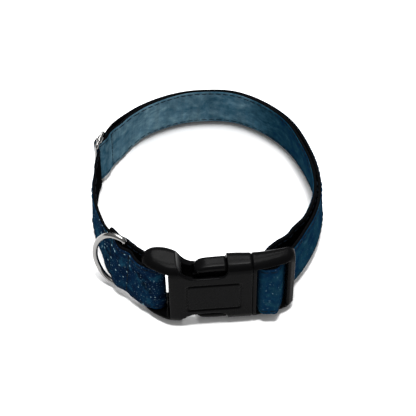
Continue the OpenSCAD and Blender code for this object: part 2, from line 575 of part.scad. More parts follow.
module ribbon_back_inner() { ribbon(i_inner, i_loop); }
module ribbon_slider_loop() { ribbon(i_loop, last); }

buckle_socket();
plug_frame();
latch_arm_upper();
latch_arm_lower();
d_ring();
slider_frame();
strap_left();
strap_weave_in();
strap_weave_mid();
strap_weave_out();
strap_back_outer();
strap_right_outer();
strap_plug_wrap();
strap_right_inner();
strap_back_inner();
strap_slider_loop();
ribbon_left();
ribbon_weave_in();
ribbon_weave_mid();
ribbon_weave_out();
ribbon_back_outer();
ribbon_right_outer();
ribbon_plug_wrap();
ribbon_right_inner();
ribbon_back_inner();
ribbon_slider_loop();
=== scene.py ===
"""Looks of a flat adjustable dog collar that stands on its edge.

One length of black webbing faced with printed satin ribbon runs round the neck, through a wire slider and a
side release buckle, and back to the slider. A wire ring for the leash is sewn into its doubled end.
Lengths are in millimetres, in the plan of the neck loop, until a mesh is made: meshes are in metres.
"""

import bisect
import cmath
import json
import logging
import math
from collections.abc import Callable, Sequence
from dataclasses import dataclass, field
from enum import Enum
from typing import TypeVar

import bmesh
import bpy
from bpy.types import ID, Material, Mesh, Node, NodeSocket, NodeTree, Object
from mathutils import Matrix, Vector, kdtree, noise


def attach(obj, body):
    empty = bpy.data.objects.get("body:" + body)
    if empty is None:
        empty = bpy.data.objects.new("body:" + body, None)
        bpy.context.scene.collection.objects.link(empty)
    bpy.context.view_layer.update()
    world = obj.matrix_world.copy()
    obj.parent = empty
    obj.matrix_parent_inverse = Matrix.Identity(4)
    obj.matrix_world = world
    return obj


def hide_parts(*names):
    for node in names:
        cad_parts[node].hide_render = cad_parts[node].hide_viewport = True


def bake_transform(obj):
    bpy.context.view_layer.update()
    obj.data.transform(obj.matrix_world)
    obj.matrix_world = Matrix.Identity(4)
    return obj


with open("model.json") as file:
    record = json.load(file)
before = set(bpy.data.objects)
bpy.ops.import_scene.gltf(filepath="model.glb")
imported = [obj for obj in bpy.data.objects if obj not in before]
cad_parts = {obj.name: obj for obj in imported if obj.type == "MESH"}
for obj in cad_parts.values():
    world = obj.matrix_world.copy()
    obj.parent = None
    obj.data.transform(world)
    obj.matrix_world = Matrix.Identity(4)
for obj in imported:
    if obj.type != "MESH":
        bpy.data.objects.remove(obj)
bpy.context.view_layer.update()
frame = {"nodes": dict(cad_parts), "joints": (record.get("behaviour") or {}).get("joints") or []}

MM = 0.001
CLOTH = "cloth"
# How far outside the loop's line the slider's middle lies
SLIDER_OFF = -0.5
LOG = logging.getLogger("collar")

Value = TypeVar("Value", float, complex, Vector)
Table = Sequence[tuple[float, float]]
Triple = tuple[float, float, float]
Faces = list[tuple[int, ...]]


# ---------------------------------------------------------------- small helpers
def linear(hex_code: str) -> tuple[float, float, float, float]:
    """Turns an sRGB hex colour into Blender's linear colour.

    Args:
        hex_code: Six hex digits, without a hash.

    Returns:
        Linear red, green and blue, and an alpha of 1.
    """
    parts = [int(hex_code[i:i + 2], 16) / 255 for i in (0, 2, 4)]
    red, green, blue = [c / 12.92 if c <= 0.04045 else ((c + 0.055) / 1.055) ** 2.4 for c in parts]
    return red, green, blue, 1.0


def feed(node: Node, inputs: dict) -> None:
    """Sets a node's inputs.

    Args:
        node: The node.
        inputs: A constant, or the output socket to link, by input name or number.
    """
    for key, value in inputs.items():
        if isinstance(value, NodeSocket):
            node.id_data.links.new(value, node.inputs[key])
        else:
            node.inputs[key].default_value = value


def add_node(tree: NodeTree, kind: str, inputs: dict | None = None, out: int | str = 0,
             stops: Sequence[tuple[float, str]] = (), **settings: object) -> NodeSocket:
    """Adds one shader node with its settings, constants and links.

    Args:
        tree: Node tree that gets the node.
        kind: Node's type name, without its "ShaderNode" prefix.
        inputs: A constant, or the output socket to link, by input name or number.
        out: Name or number of the output wanted.
        stops: Positions and hex colours of a colour ramp in rising order, where the node is one.
        **settings: Attributes to set on the node.

    Returns:
        The new node's output.
    """
    node = tree.nodes.new("ShaderNode" + kind)
    for name, value in settings.items():
        setattr(node, name, value)
    feed(node, inputs or {})
    for k, (place, code) in enumerate(stops):
        band = node.color_ramp.elements
        if k == 0:
            band.remove(band[1])
        stop = band[0] if k == 0 else band.new(place)
        stop.position = place
        stop.color = linear(code)
    return node.outputs[out]


def new_material(name: str) -> tuple[Material, NodeTree, Node]:
    """Makes a material, and gives it with its node tree and its principled shader."""
    made = bpy.data.materials.new(name)
    made.use_nodes = True
    return made, made.node_tree, made.node_tree.nodes["Principled BSDF"]


def mix(a: Value, b: Value, k: float) -> Value:
    """Value a share k of the way from a to b."""
    return a + (b - a) * k


def ease(k: float) -> float:
    """Smooth step from 0 to 1 as k goes from 0 to 1."""
    k = min(1.0, max(0.0, k))
    return k * k * (3 - 2 * k)


def keyed(table: Table, t: float) -> float:
    """Smooth run through a table of places and values, flat beyond its ends.

    Args:
        table: Places in rising order, each with its value.
        t: Place to read.

    Returns:
        The value at t.
    """
    if t <= table[0][0]:
        return table[0][1]
    for (t0, v0), (t1, v1) in zip(table, table[1:]):
        if t <= t1:
            return mix(v0, v1, ease((t - t0) / (t1 - t0)))
    return table[-1][1]


def polar(r: float, degrees: float) -> complex:
    """Plan vector of length r at an angle from +X."""
    return cmath.rect(r, math.radians(degrees))


def arc(centre: complex, r: float, a0: float, a1: float, n: int) -> list[complex]:
    """Points on a round arc from angle a0 to a1, in n steps."""
    return [centre + polar(r, mix(a0, a1, i / n)) for i in range(n + 1)]


def unit(v: complex) -> complex:
    """Vector of length 1 in the direction of v."""
    return v / abs(v)


def curve(points: list[complex], steps: int) -> list[complex]:
    """Smooth curve through control points.

    Args:
        points: Control points, all of which lie on the curve.
        steps: Steps in each span between two of them.

    Returns:
        Points from the first control point to the last.
    """
    n = len(points) - 1
    made = []
    for i in range(n):
        a, b, c, d = points[max(0, i - 1)], points[i], points[i + 1], points[min(n, i + 2)]
        for s in (j / steps for j in range(steps)):
            made.append(b + 0.5 * s * (c - a + s * (2 * a - 5 * b + 4 * c - d + s * (3 * (b - c) + d - a))))
    return made + [points[n]]


def add_object(name: str, data: ID) -> Object:
    """Makes an object with some data, and links it to the scene."""
    made = bpy.data.objects.new(name, data)
    bpy.context.collection.objects.link(made)
    return made


def new_mesh(name: str, points: list, faces: Faces, material: Material,
             cloth: list[Triple] | None = None) -> Object:
    """Makes a mesh object from points in metres, shaded smooth up to its real edges.

    Args:
        name: Object's name.
        points: Corner positions.
        faces: Corner numbers of each face.
        material: Material of the whole mesh.
        cloth: Each corner's place on the cloth, where the piece is cloth.

    Returns:
        The new object.
    """
    mesh = bpy.data.meshes.new(name)
    mesh.from_pydata([tuple(p) for p in points], [], faces)
    mesh.polygons.foreach_set("use_smooth", [True] * len(mesh.polygons))
    mesh.set_sharp_from_angle(angle=math.radians(60))
    mesh.materials.append(material)
    if cloth:
        store = mesh.attributes.new(CLOTH, "FLOAT_VECTOR", "POINT")
        store.data.foreach_set("vector", [c for place in cloth for c in place])
    mesh.update()
    LOG.info("%s: %d faces", name, len(faces))
    return add_object(name, mesh)


def side_faces(rings: int, corners: int, closed: bool = False) -> Faces:
    """Faces between neighbouring rings of corners.

    Args:
        rings: Number of rings.
        corners: Number of corners in each.
        closed: Whether the last ring joins the first.

    Returns:
        Corner numbers of each face.
    """
    faces, total = [], rings * corners
    for i in range(rings if closed else rings - 1):
        for k in range(corners):
            a, b = i * corners + k, i * corners + (k + 1) % corners
            faces.append((a, b, (b + corners) % total, (a + corners) % total))
    return faces


def sweep(path: list[Vector], ups: list[Vector], r: float, sides: int, closed: bool,
          first: int = 0) -> tuple[list[Vector], Faces]:
    """Round section carried along a path.

    Args:
        path: Points of the centre line.
        ups: Direction of the section's start at each point.
        r: Radius, or half the thickness.
        sides: Corners of the section.
        closed: Whether the path's ends meet.
        first: Number of the first corner, where other pieces come before this one in the mesh.

    Returns:
        Corner positions and faces.
    """
    n, m = len(path), sides
    points, faces = [], side_faces(n, m, closed)
    for i, p in enumerate(path):
        ahead = path[(i + 1) % n] if closed or i < n - 1 else p
        behind = path[i - 1] if closed or i > 0 else p
        along = (ahead - behind).normalized()
        up = (ups[i] - along * ups[i].dot(along)).normalized()
        other = along.cross(up)
        points += [p + (up * math.cos(a) + other * math.sin(a)) * r
                   for a in (2 * math.pi * k / m for k in range(m))]
    if not closed:
        faces += [tuple(reversed(range(m))), tuple(range(n * m - m, n * m))]
    return points, [tuple(first + k for k in face) for face in faces]


# ---------------------------------------------------------------- finishes
@dataclass(frozen=True)
class SatinRibbon:
    """Polyester satin ribbon, dye-sublimated with a mottled blue print.

    The dye sits in the yarn, so the print is dull in colour. Ribs and slubs spread the satin's own sheen so
    broadly that there is no sharp highlight to draw. The ribs lie across the ribbon about 0.2 mm apart and
    are drawn at 0.5 mm so that they show. The cloth's third number is how washed out the print is, from 0 to
    1;
    it also carries painted sheen, a lighter tone where the strap faces the lights, and a gain turns it into a
    lift of the tone. Painted shade and light lie along the creases. Depths are in millimetres: slubs, puckers
    and creases.
    """

    tones: tuple[tuple[float, str], ...] = (
        (0.16, "040C1A"), (0.3, "081A30"), (0.4, "08243A"), (0.5, "11303F"), (0.7, "2E4F60"),
        (0.84, "4A6877"), (0.98, "66848F"))
    speck: str = "9CC0CC"
    blot: str = "1D4C60"
    mottle_mm: float = 12.0
    cloud_mm: float = 2.8
    cloud_share: float = 0.38
    wash_and_sheen_gain: float = 0.62
    wash_and_sheen_base: float = -0.22
    gather_mm: float = 19.0
    speck_mm: float = 1.7
    dot_edge: float = 0.12
    blot_mm: float = 7.0
    dust_mm: float = 2 / 3
    crease_mm: float = 4.5
    crease_long_mm: float = 28.125
    crease_slant: float = 24.0
    crease_shade_gain: float = 0.4
    crease_shade_base: float = 0.78
    rib_mm: float = 0.5
    slub_mm: float = 0.625
    pucker_mm: float = 3.2
    rib_depth: float = 0.012
    depths: Triple = (0.08, 0.05, 0.9)
    half_w: float = 12.5
    seam_zone: tuple[float, float] = (7.0, 10.8)
    roughness: float = 0.5
    specular: float = 0.0

    def material(self) -> Material:
        """Builds the ribbon's material.

        Returns:
            The material, which reads places along and across the strap.
        """
        made, tree, shader = new_material("satin_ribbon_print")
        place = add_node(tree, "Attribute", out="Vector", attribute_name=CLOTH)
        # The cloth's third number: the print's fading together with painted sheen where the strap faces the
        # lights
        fade_and_sheen = add_node(tree, "SeparateXYZ", {"Vector": place}, out="Z")
        # Slanting creases where the ribbon is bent inwards, which is where the print is washed out. Painted
        # shade darkens the print in their troughs and painted light lifts it on their ridges
        slant = add_node(tree, "Mapping", {
            "Vector": place, "Rotation": (0, 0, math.radians(self.crease_slant)),
            "Scale": (1 / self.crease_mm, 1 / self.crease_long_mm, 0.0)})
        crease = add_node(tree, "TexNoise", {
            "Vector": slant, "Scale": 1.0, "Detail": 3.0, "Roughness": 0.5, "Distortion": 0.4})
        fold = add_node(tree, "MapRange", {"Value": crease, "From Min": 0.3, "From Max": 0.7})
        bent = add_node(tree, "MapRange", {"Value": fade_and_sheen, "From Min": 0.3, "From Max": 0.8, "To Min": 0.15})
        # Painted shade and light of the creases, multiplied into the print
        shade = add_node(tree, "Math", {0: fold, 1: self.crease_shade_gain, 2: self.crease_shade_base},
                         operation="MULTIPLY_ADD")
        crease_shaded_print = add_node(tree, "MixRGB", {
            "Fac": bent, "Color1": self.printed(tree, place, fade_and_sheen), "Color2": shade}, blend_type="MULTIPLY")
        crumple = add_node(tree, "Math", {0: fold, 1: bent}, operation="MULTIPLY")
        bump = add_node(tree, "Bump", {
            "Height": self.relief(tree, place, crumple), "Strength": 1.0, "Distance": MM})
        feed(shader, {"Base Color": crease_shaded_print, "Normal": bump, "Roughness": self.roughness,
                      "Specular IOR Level": self.specular})
        return made

    def printed(self, tree: NodeTree, place: NodeSocket, fade_and_sheen: NodeSocket) -> NodeSocket:
        """Prints broad blotches broken up by small ones, then stains, dust and pale dots over them.

        Args:
            tree: The material's node tree.
            place: Place on the cloth, in millimetres.
            fade_and_sheen: How washed out the print is there, with the painted sheen that lifts it.

        Returns:
            The print's colour.
        """
        mottle = add_node(tree, "TexNoise", {
            "Vector": place, "Scale": 1 / self.mottle_mm, "Detail": 6.0, "Roughness": 0.6, "Distortion": 1.2})
        cloud = add_node(tree, "TexNoise", {
            "Vector": place, "Scale": 1 / self.cloud_mm, "Detail": 5.0, "Roughness": 0.65})
        wash = add_node(tree, "MixRGB", {"Fac": self.cloud_share, "Color1": mottle, "Color2": cloud})
        # Painted sheen and the print's fading lift the tone together
        shift = add_node(tree, "Math", {0: fade_and_sheen, 1: self.wash_and_sheen_gain, 2: self.wash_and_sheen_base},
                         operation="MULTIPLY_ADD")
        tone = add_node(tree, "Math", {0: wash, 1: shift}, operation="ADD")
        colour = add_node(tree, "ValToRGB", {"Fac": tone}, stops=self.tones)
        sparse = add_node(tree, "MapRange", {
            "Value": fade_and_sheen, "From Min": 0.08, "From Max": 0.3, "To Min": 1.0, "To Max": 0.0})
        # Stains and dust lie where a noise is high, and thin out where the print is washed out
        for size, detail, rough, low, high, most, code in (
                (self.blot_mm, 5.0, 0.7, 0.53, 0.72, 0.7, self.blot),
                (self.dust_mm, 1.0, 0.5, 0.66, 0.8, 0.4, self.speck)):
            patch = add_node(tree, "TexNoise", {
                "Vector": place, "Scale": 1 / size, "Detail": detail, "Roughness": rough})
            patch = add_node(tree, "MapRange", {
                "Value": patch, "From Min": low, "From Max": high, "To Max": most})
            patch = add_node(tree, "Math", {0: patch, 1: sparse}, operation="MULTIPLY")
            colour = add_node(tree, "MixRGB", {"Fac": patch, "Color1": colour, "Color2": linear(code)})
        # Dots of many sizes, gathered where a broad noise is high
        cells = add_node(tree, "TexVoronoi", {"Vector": place, "Scale": 1 / self.speck_mm, "Randomness": 1.0})
        size = add_node(tree, "SeparateColor", {"Color": cells.node.outputs["Color"]})
        gather = add_node(tree, "TexNoise", {"Vector": place, "Scale": 1 / self.gather_mm, "Detail": 2.0})
        radius = add_node(tree, "MapRange", {"Value": size, "From Min": 0.25, "From Max": 1.0, "To Max": 0.4})
        crowd = add_node(tree, "MapRange", {"Value": gather, "From Min": 0.3, "From Max": 0.52})
        for limit in (crowd, sparse):
            radius = add_node(tree, "Math", {0: radius, 1: limit}, operation="MULTIPLY")
        inside = add_node(tree, "Math", {0: radius, 1: cells}, operation="SUBTRACT")
        dot = add_node(tree, "MapRange", {"Value": inside, "From Max": self.dot_edge, "To Max": 0.75})
        return add_node(tree, "MixRGB", {"Fac": dot, "Color1": colour, "Color2": linear(self.speck)})

    def relief(self, tree: NodeTree, place: NodeSocket, crumple: NodeSocket) -> NodeSocket:
        """Raises ribs, slubs, puckers beside the two seams, and creases.

        Args:
            tree: The material's node tree.
            place: Place on the cloth, in millimetres.
            crumple: Height of the creases, from 0 to 1.

        Returns:
            Height of the cloth's face in millimetres.
        """
        along = add_node(tree, "SeparateXYZ", {"Vector": place})
        waves = []
        for pitch in (self.rib_mm, self.pucker_mm):
            turns = add_node(tree, "Math", {0: along, 1: 2 * math.pi / pitch}, operation="MULTIPLY")
            waves.append(add_node(tree, "Math", {0: turns}, operation="SINE"))
        middle = add_node(tree, "Math", {0: along.node.outputs["Y"], 1: self.half_w}, operation="SUBTRACT")
        edge = add_node(tree, "Math", {0: middle}, operation="ABSOLUTE")
        seam = add_node(tree, "MapRange", {
            "Value": edge, "From Min": self.seam_zone[0], "From Max": self.seam_zone[1]})
        pucker = add_node(tree, "Math", {0: waves[1], 1: seam}, operation="MULTIPLY")
        slub = add_node(tree, "TexNoise", {"Vector": place, "Scale": 1 / self.slub_mm, "Detail": 3.0})
        height = add_node(tree, "Math", {0: waves[0], 1: self.rib_depth}, operation="MULTIPLY")
        for part, depth in zip((slub, pucker, crumple), self.depths):
            height = add_node(tree, "Math", {0: part, 1: depth, 2: height}, operation="MULTIPLY_ADD")
        return height


@dataclass(frozen=True)
class NylonWebbing:
    """Nylon webbing, woven flat from filament yarn and dyed black.

    Its yarns float in short staggered cells about 1.9 mm long and 0.9 mm wide, which break the light into a
    fine matt grain. The gaps between the cells are painted darker, as shade between the yarns.
    """

    colour: str = "040405"
    light: str = "0B0C0D"
    gap_shade: str = "020202"
    float_mm: float = 1.9
    yarn_mm: float = 0.9
    gap_mm: float = 0.11
    grain_mm: float = 1 / 2.2
    relief_mm: float = 0.12
    roughness: float = 0.78
    specular: float = 0.0

    def material(self) -> Material:
        """Builds the webbing's material.

        Returns:
            The material, which reads places along and across the strap.
        """
        made, tree, shader = new_material("nylon_webbing_black")
        place = add_node(tree, "Attribute", out="Vector", attribute_name=CLOTH)
        weave = add_node(tree, "TexBrick", {
            "Vector": place, "Scale": 1.0, "Mortar Size": self.gap_mm, "Mortar Smooth": 1.0,
            "Brick Width": self.float_mm, "Row Height": self.yarn_mm}, out="Fac")
        grain = add_node(tree, "TexNoise", {"Vector": place, "Scale": 1 / self.grain_mm, "Detail": 4.0})
        colour = add_node(tree, "MixRGB", {
            "Fac": grain, "Color1": linear(self.light), "Color2": linear(self.colour)})
        # Painted shade in the gaps between the yarn floats
        shaded = add_node(tree, "MixRGB", {"Fac": weave, "Color1": colour, "Color2": linear(self.gap_shade)})
        flat = add_node(tree, "Math", {0: weave, 1: -1.0, 2: 1.0}, operation="MULTIPLY_ADD")
        bump = add_node(tree, "Bump", {"Height": flat, "Strength": 0.7, "Distance": self.relief_mm * MM})
        feed(shader, {"Base Color": shaded, "Normal": bump, "Roughness": self.roughness,
                      "Specular IOR Level": self.specular})
        return made


@dataclass(frozen=True)
class SewingThread:
    """Bonded polyester thread, twisted hard from two plies and dyed to match the ribbon.

    The twist gives slanting bands of light and dark, painted into the colour as highlight and shade. They
    are about 0.35 mm apart, which is too fine to show, and are drawn about 2.5 mm apart. The bond dulls the
    thread, so hardly a real highlight shows.
    """

    colour: str = "070B10"
    twist_highlight: str = "121B24"
    twist_mm: float = 7.0
    roughness: float = 0.55
    specular: float = 0.02

    def material(self) -> Material:
        """Builds the thread's material.

        Returns:
            The material, which reads places in the piece's own space.
        """
        made, tree, shader = new_material("polyester_thread")
        place = add_node(tree, "TexCoord", out="Object")
        # The diagonal bands of painted highlight are 0.36 of this length apart
        twist = add_node(tree, "TexWave", {
            "Vector": place, "Scale": 1 / (self.twist_mm * MM), "Distortion": 1.0
        }, out="Fac", bands_direction="DIAGONAL")
        colour = add_node(tree, "MixRGB", {
            "Fac": twist, "Color1": linear(self.colour), "Color2": linear(self.twist_highlight)})
        feed(shader, {"Base Color": colour, "Roughness": self.roughness, "Specular IOR Level": self.specular})
        return made


@dataclass(frozen=True)
class MouldedAcetal:
    """Black acetal, injection moulded in a finely spark-eroded tool.

    The tool leaves a grain about 0.2 mm across that turns its gloss into a soft satin highlight, and handling
    polishes it unevenly.
    """

    colour: str = "040404"
    worn: str = "070708"
    grain_mm: float = 0.22
    wear_mm: float = 9.0
    relief_mm: float = 0.03
    roughness: float = 0.27
    specular: float = 0.027

    def material(self) -> Material:
        """Builds the plastic's material.

        Returns:
            The material, which reads places in the piece's own space.
        """
        made, tree, shader = new_material("moulded_acetal_black")
        place = add_node(tree, "TexCoord", out="Object")
        grain = add_node(tree, "TexNoise", {
            "Vector": place, "Scale": 1 / (self.grain_mm * MM * 2), "Detail": 3.0})
        worn = add_node(tree, "TexNoise", {
            "Vector": place, "Scale": 1 / (self.wear_mm * MM), "Detail": 6.0, "Roughness": 0.65})
        gloss = add_node(tree, "MapRange", {
            "Value": worn, "From Min": 0.3, "From Max": 0.7, "To Min": self.roughness - 0.05,
            "To Max": self.roughness + 0.07})
        bump = add_node(tree, "Bump", {"Height": grain, "Strength": 0.12, "Distance": self.relief_mm * MM})
        tone = add_node(tree, "MixRGB", {
            "Fac": worn, "Color1": linear(self.colour), "Color2": linear(self.worn)})
        feed(shader, {"Base Color": tone, "Normal": bump, "Roughness": gloss,
                      "Specular IOR Level": self.specular})
        return made


@dataclass(frozen=True)
class NickelPlate:
    """Drawn steel wire, bent and welded, then bright nickel plated.

    The plating mirrors what is round it with a faint blur, and its draw lines and handling marks vary that
    blur.
    """

    colour: str = "7C7B7A"
    mark_mm: float = 2.5
    relief_mm: float = 0.03
    roughness: float = 0.16

    def material(self) -> Material:
        """Builds the plated metal's material.

        Returns:
            The material, which reads places in the piece's own space.
        """
        made, tree, shader = new_material("nickel_plated_wire")
        place = add_node(tree, "TexCoord", out="Object")
        marks = add_node(tree, "TexNoise", {
            "Vector": place, "Scale": 1 / (self.mark_mm * MM), "Detail": 5.0, "Roughness": 0.7})
        blur = add_node(tree, "MapRange", {
            "Value": marks, "From Min": 0.35, "From Max": 0.75, "To Min": self.roughness - 0.05,
            "To Max": self.roughness + 0.12})
        bump = add_node(tree, "Bump", {"Height": marks, "Strength": 0.1, "Distance": self.relief_mm * MM})
        feed(shader, {"Base Color": linear(self.colour), "Metallic": 1.0, "Normal": bump, "Roughness": blur})
        return made


@dataclass
class Finishes:
    """The collar's materials, each made once."""

    webbing: Material = field(default_factory=NylonWebbing().material)
    ribbon: Material = field(default_factory=SatinRibbon().material)
    thread: Material = field(default_factory=SewingThread().material)
    plastic: Material = field(default_factory=MouldedAcetal().material)
    metal: Material = field(default_factory=NickelPlate().material)


# ---------------------------------------------------------------- bodies, runs and faces
class Body(Enum):
    """The frame's moving bodies."""

    COLLAR = "collar"
    PLUG = "plug"
    UPPER_ARM = "arm_upper"
    LOWER_ARM = "arm_lower"
    RING = "ring"
    SLIDER = "slider"


class Run(Enum):
    """Stretches of the strap in order from its cut tail, each with the bodies that carry its two ends."""

    LEFT = ("left", Body.COLLAR, Body.COLLAR)
    WEAVE_IN = ("weave_in", Body.COLLAR, Body.SLIDER)
    WEAVE_MID = ("weave_mid", Body.SLIDER, Body.SLIDER)
    WEAVE_OUT = ("weave_out", Body.SLIDER, Body.COLLAR)
    BACK_OUTER = ("back_outer", Body.COLLAR, Body.COLLAR)
    RIGHT_OUTER = ("right_outer", Body.COLLAR, Body.PLUG)
    PLUG_WRAP = ("plug_wrap", Body.PLUG, Body.PLUG)
    RIGHT_INNER = ("right_inner", Body.PLUG, Body.COLLAR)
    BACK_INNER = ("back_inner", Body.COLLAR, Body.SLIDER)
    SLIDER_LOOP = ("slider_loop", Body.SLIDER, Body.SLIDER)

    @property
    def label(self) -> str:
        """The run's name in the frame's nodes."""
        return self.value[0]


class Face(Enum):
    """The strap's two faces, as the sign of a depth from its middle."""

    RIBBON = 1
    BLACK = -1


# ---------------------------------------------------------------- the strap's route
@dataclass
class NeckLoop:
    """Plan of the collar: an oval with a fuller back left corner. Turns are degrees from +X."""

    half_w: float = 47.3
    half_d: float = 51.0
    corner_fullness: float = 0.025

    def point(self, t: float) -> complex:
        """Point of the centre line at turn t."""
        full = 1 + self.corner_fullness * math.sin(math.radians(2 * t)) ** 2 if 90 < t < 180 else 1
        a = math.radians(t)
        return complex(self.half_w * math.cos(a), self.half_d * math.sin(a)) * full

    def heading(self, t: float) -> complex:
        """Direction of travel at turn t, clockwise from above."""
        return unit(self.point(t - 0.5) - self.point(t + 0.5))

    def out(self, t: float) -> complex:
        """Direction out of the loop at turn t."""
        return self.heading(t) * 1j

    def off(self, t: float, o: float) -> complex:
        """Point o outside the centre line at turn t."""
        return self.point(t) + o * self.out(t)

    def turn(self, p: complex) -> float:
        """Turn at which point p lies."""
        a = math.degrees(math.atan2(p.imag / self.half_d, p.real / self.half_w))
        return a + 360 if a < -100 else a


@dataclass
class Hardware:
    """Sizes and places of what the webbing passes round, in the loop's plan.

    The plug's turn_bar and outer_bar are placed from the seam between the buckle's halves. A flat bar reaches
    its half each way from its middle, to round sides of its own radius. end_bend is the end bar's angle from
    the buckle's length, end_swell is how far the curved end reaches behind the socket's back, ring_angle is
    the ring's direction, and side_gap is the room between the webbing and the slider's rails.
    """

    buckle_h: float = 32.0
    buckle_t: float = 9.6
    buckle_y: float = -47.0
    edge_r: float = 4.0
    end_swell: float = 6.4
    seam_x: float = 13.8
    end_bar: complex = -24.85 - 41.7004j
    end_bend: float = 27.0
    end_bar_half: float = 1.65
    end_bar_r: float = 2.1
    turn_bar: complex = 6.5 - 0.3j
    turn_half: float = 1.1
    turn_bar_r: float = 1.6
    outer_bar: complex = 15.15 + 1.09505j
    outer_bar_r: float = 2.0
    ring_turn: float = 220.0
    ring_wire: float = 2.2
    ring_angle: float = 148.0
    slider_wire: float = 2.0
    bar_pitch: float = 6.4
    slider_turn: float = 155.0
    side_gap: float = 0.7


@dataclass
class Station:
    """One place on the strap.

    It has the strap's middle, the directions of its ribbon and of its lower edge's lean, how far the edges
    lean, the lower edge's height and rise, and where it is along the strap and round the loop.
    """

    at: complex
    side: complex
    out: complex
    lean: float
    low: float
    rise: float
    along: float
    turn: float


@dataclass
class StrapRoute:
    """The one length of webbing, from its cut tail to its cut end beside the slider.

    wrap_gap is the room between the strap and a bar, less what is tight at the slider, and layer_gap is that
    between layers that lie together. The edges lean by edge_lean from the middle, and the inner layer stands
    up to layer_step above the outer one. Points lie a stride of degrees apart, and stations a spacing.
    swell_turn is how many degrees beside the ring's bar a layer stands off for it, and dip_turn how many
    beside the slider's bars it dips to them.
    """

    loop: NeckLoop
    hard: Hardware
    web_w: float = 25.0
    web_t: float = 1.2
    ribbon_t: float = 0.3
    wrap_gap: float = 0.25
    tight: float = 0.05
    layer_gap: float = 0.2
    edge_lean: float = 1.9
    layer_step: float = 2.0
    tail_turn: int = 209
    stride: float = 1.5
    spacing: float = 0.8
    swell_turn: float = 6.0
    dip_turn: float = 12.0
    points: list[complex] = field(default_factory=list)
    marks: dict[Run, tuple[int, int]] = field(default_factory=dict)

    # Turns in the middle of the loop round the socket's end bar, and of the wrap round the plug
    END_TURN = 270
    PLUG_TURN = -90

    def __post_init__(self) -> None:
        """Works out how the strap stands, the route's points and the marks between its runs."""
        hard = self.hard
        self.strap_t = self.web_t + self.ribbon_t
        self.tilt = math.asin(2 * self.edge_lean / self.web_w)
        self.slider_lean = self.edge_lean * 0.5
        self.slider_tilt = math.asin(2 * self.slider_lean / self.web_w)
        self.bar_span = math.degrees(hard.bar_pitch / abs(self.loop.point(hard.slider_turn)))
        # The back of the buckle's curved end and the slider's lower rail touch the floor
        tall, deep = hard.buckle_h / 2 - hard.edge_r, hard.buckle_t / 2 + hard.end_swell - hard.edge_r
        buckle_mid = tall * math.cos(self.tilt) + deep * math.sin(self.tilt) + hard.edge_r
        front = buckle_mid - self.web_w / 2 * math.cos(self.tilt)
        self.slider_half = self.web_w / 2 + hard.side_gap + hard.slider_wire / 2
        self.slider_mid = self.slider_half * math.cos(self.slider_tilt) + hard.slider_wire / 2
        slider = self.slider_mid - self.web_w / 2 * math.cos(self.slider_tilt)
        lean, step = self.edge_lean, self.layer_step
        # The lower edge's height, the lean, and the inner layer's step up, each by turn round the loop
        self.lift_table = [(-60, front), (-35, front * 0.9), (30, 0), (125, 0), (150, slider), (170, slider),
                           (200, front), (230, front)]
        self.lean_table = [(116, lean), (140, self.slider_lean), (170, self.slider_lean), (186, lean * 0.85),
                           (204, lean * 0.85), (220, lean)]
        self.step_table = [(-45, 0), (30, step * 0.8), (90, step), (118, step * 0.7), (136, 0)]
        self.build()

    def near(self, t: float, at: float, flat: float, soft: float) -> float:
        """1 within flat degrees of a turn, easing to 0 over soft degrees more."""
        return ease((flat + soft - abs(t - at)) / soft)

    def at_end_loop(self, t: float) -> float:
        """How far turn t belongs to the loop round the socket's end bar."""
        return self.near(t, self.END_TURN, 37, 10)

    def at_plug(self, t: float) -> float:
        """How far turn t belongs to the wrap round the plug."""
        return self.near(t, self.PLUG_TURN, 40, 16)

    def lean_out(self, t: float) -> complex:
        """Direction in which the lower edge leans out: the buckle's and the slider's where they hold it.

        Args:
            t: Turn round the loop.

        Returns:
            That direction, of length 1.
        """
        slider = self.hard.slider_turn
        t += (self.near(t, slider, self.bar_span + 3, 8) * (slider - t)
              + self.at_end_loop(t) * (self.END_TURN - t) + self.at_plug(t) * (self.PLUG_TURN - t))
        return self.loop.out(t)

    def swell(self, t: float) -> float:
        """How far a layer stands off for the ring's bar at turn t."""
        k = (t - self.hard.ring_turn) / self.swell_turn
        return 0 if abs(k) >= 1 else self.ring_off * (1 + math.cos(math.pi * k)) / 2

    def weave_off(self, t: float) -> float:
        """Dip of the webbing towards the slider's bars at turn t."""
        beyond = abs(t - self.hard.slider_turn) - self.bar_span
        return -self.bar_r[0] * ease(1 - beyond / self.dip_turn)

    def stretch(self, t: float, last: float, off: Callable[[float], float]) -> list[complex]:
        """Points of the route that follow the loop.

        Args:
            t: First turn.
            last: Turn that the points don't pass.
            off: How far outside the loop a layer lies at a turn.

        Returns:
            A point every few degrees.
        """
        step = math.copysign(self.stride, last - t)
        made = []
        while (last - t) * step >= 0:
            made.append(self.loop.off(t, off(t)))
            t += step
        return made

    def build(self) -> None:
        """Fills in the route's points and marks."""
        loop, hard, thick = self.loop, self.hard, self.strap_t
        self.stack = (thick + self.layer_gap) / 2
        self.ring_off = hard.ring_wire / 2 + self.wrap_gap + thick / 2 - self.stack
        r1 = hard.slider_wire / 2 + self.wrap_gap - self.tight + thick / 2
        self.bar_r = [r1 + k * (thick + self.layer_gap) for k in range(3)]
        mid, before = hard.slider_turn, hard.slider_turn - self.bar_span - 1
        # The left side runs from the mouth of the doubled end to the slider
        left = []
        for k in range(67):
            t = mix(226.6, mid + self.bar_span + 1, k / 66)
            left.append(loop.off(t, self.stack * ease((t - 200) / 12) + self.swell(t) + self.weave_off(t)))
        back = self.stretch(before, -47, self.weave_off)
        reach, plug, inward = self.plug_wrap(back[-1])
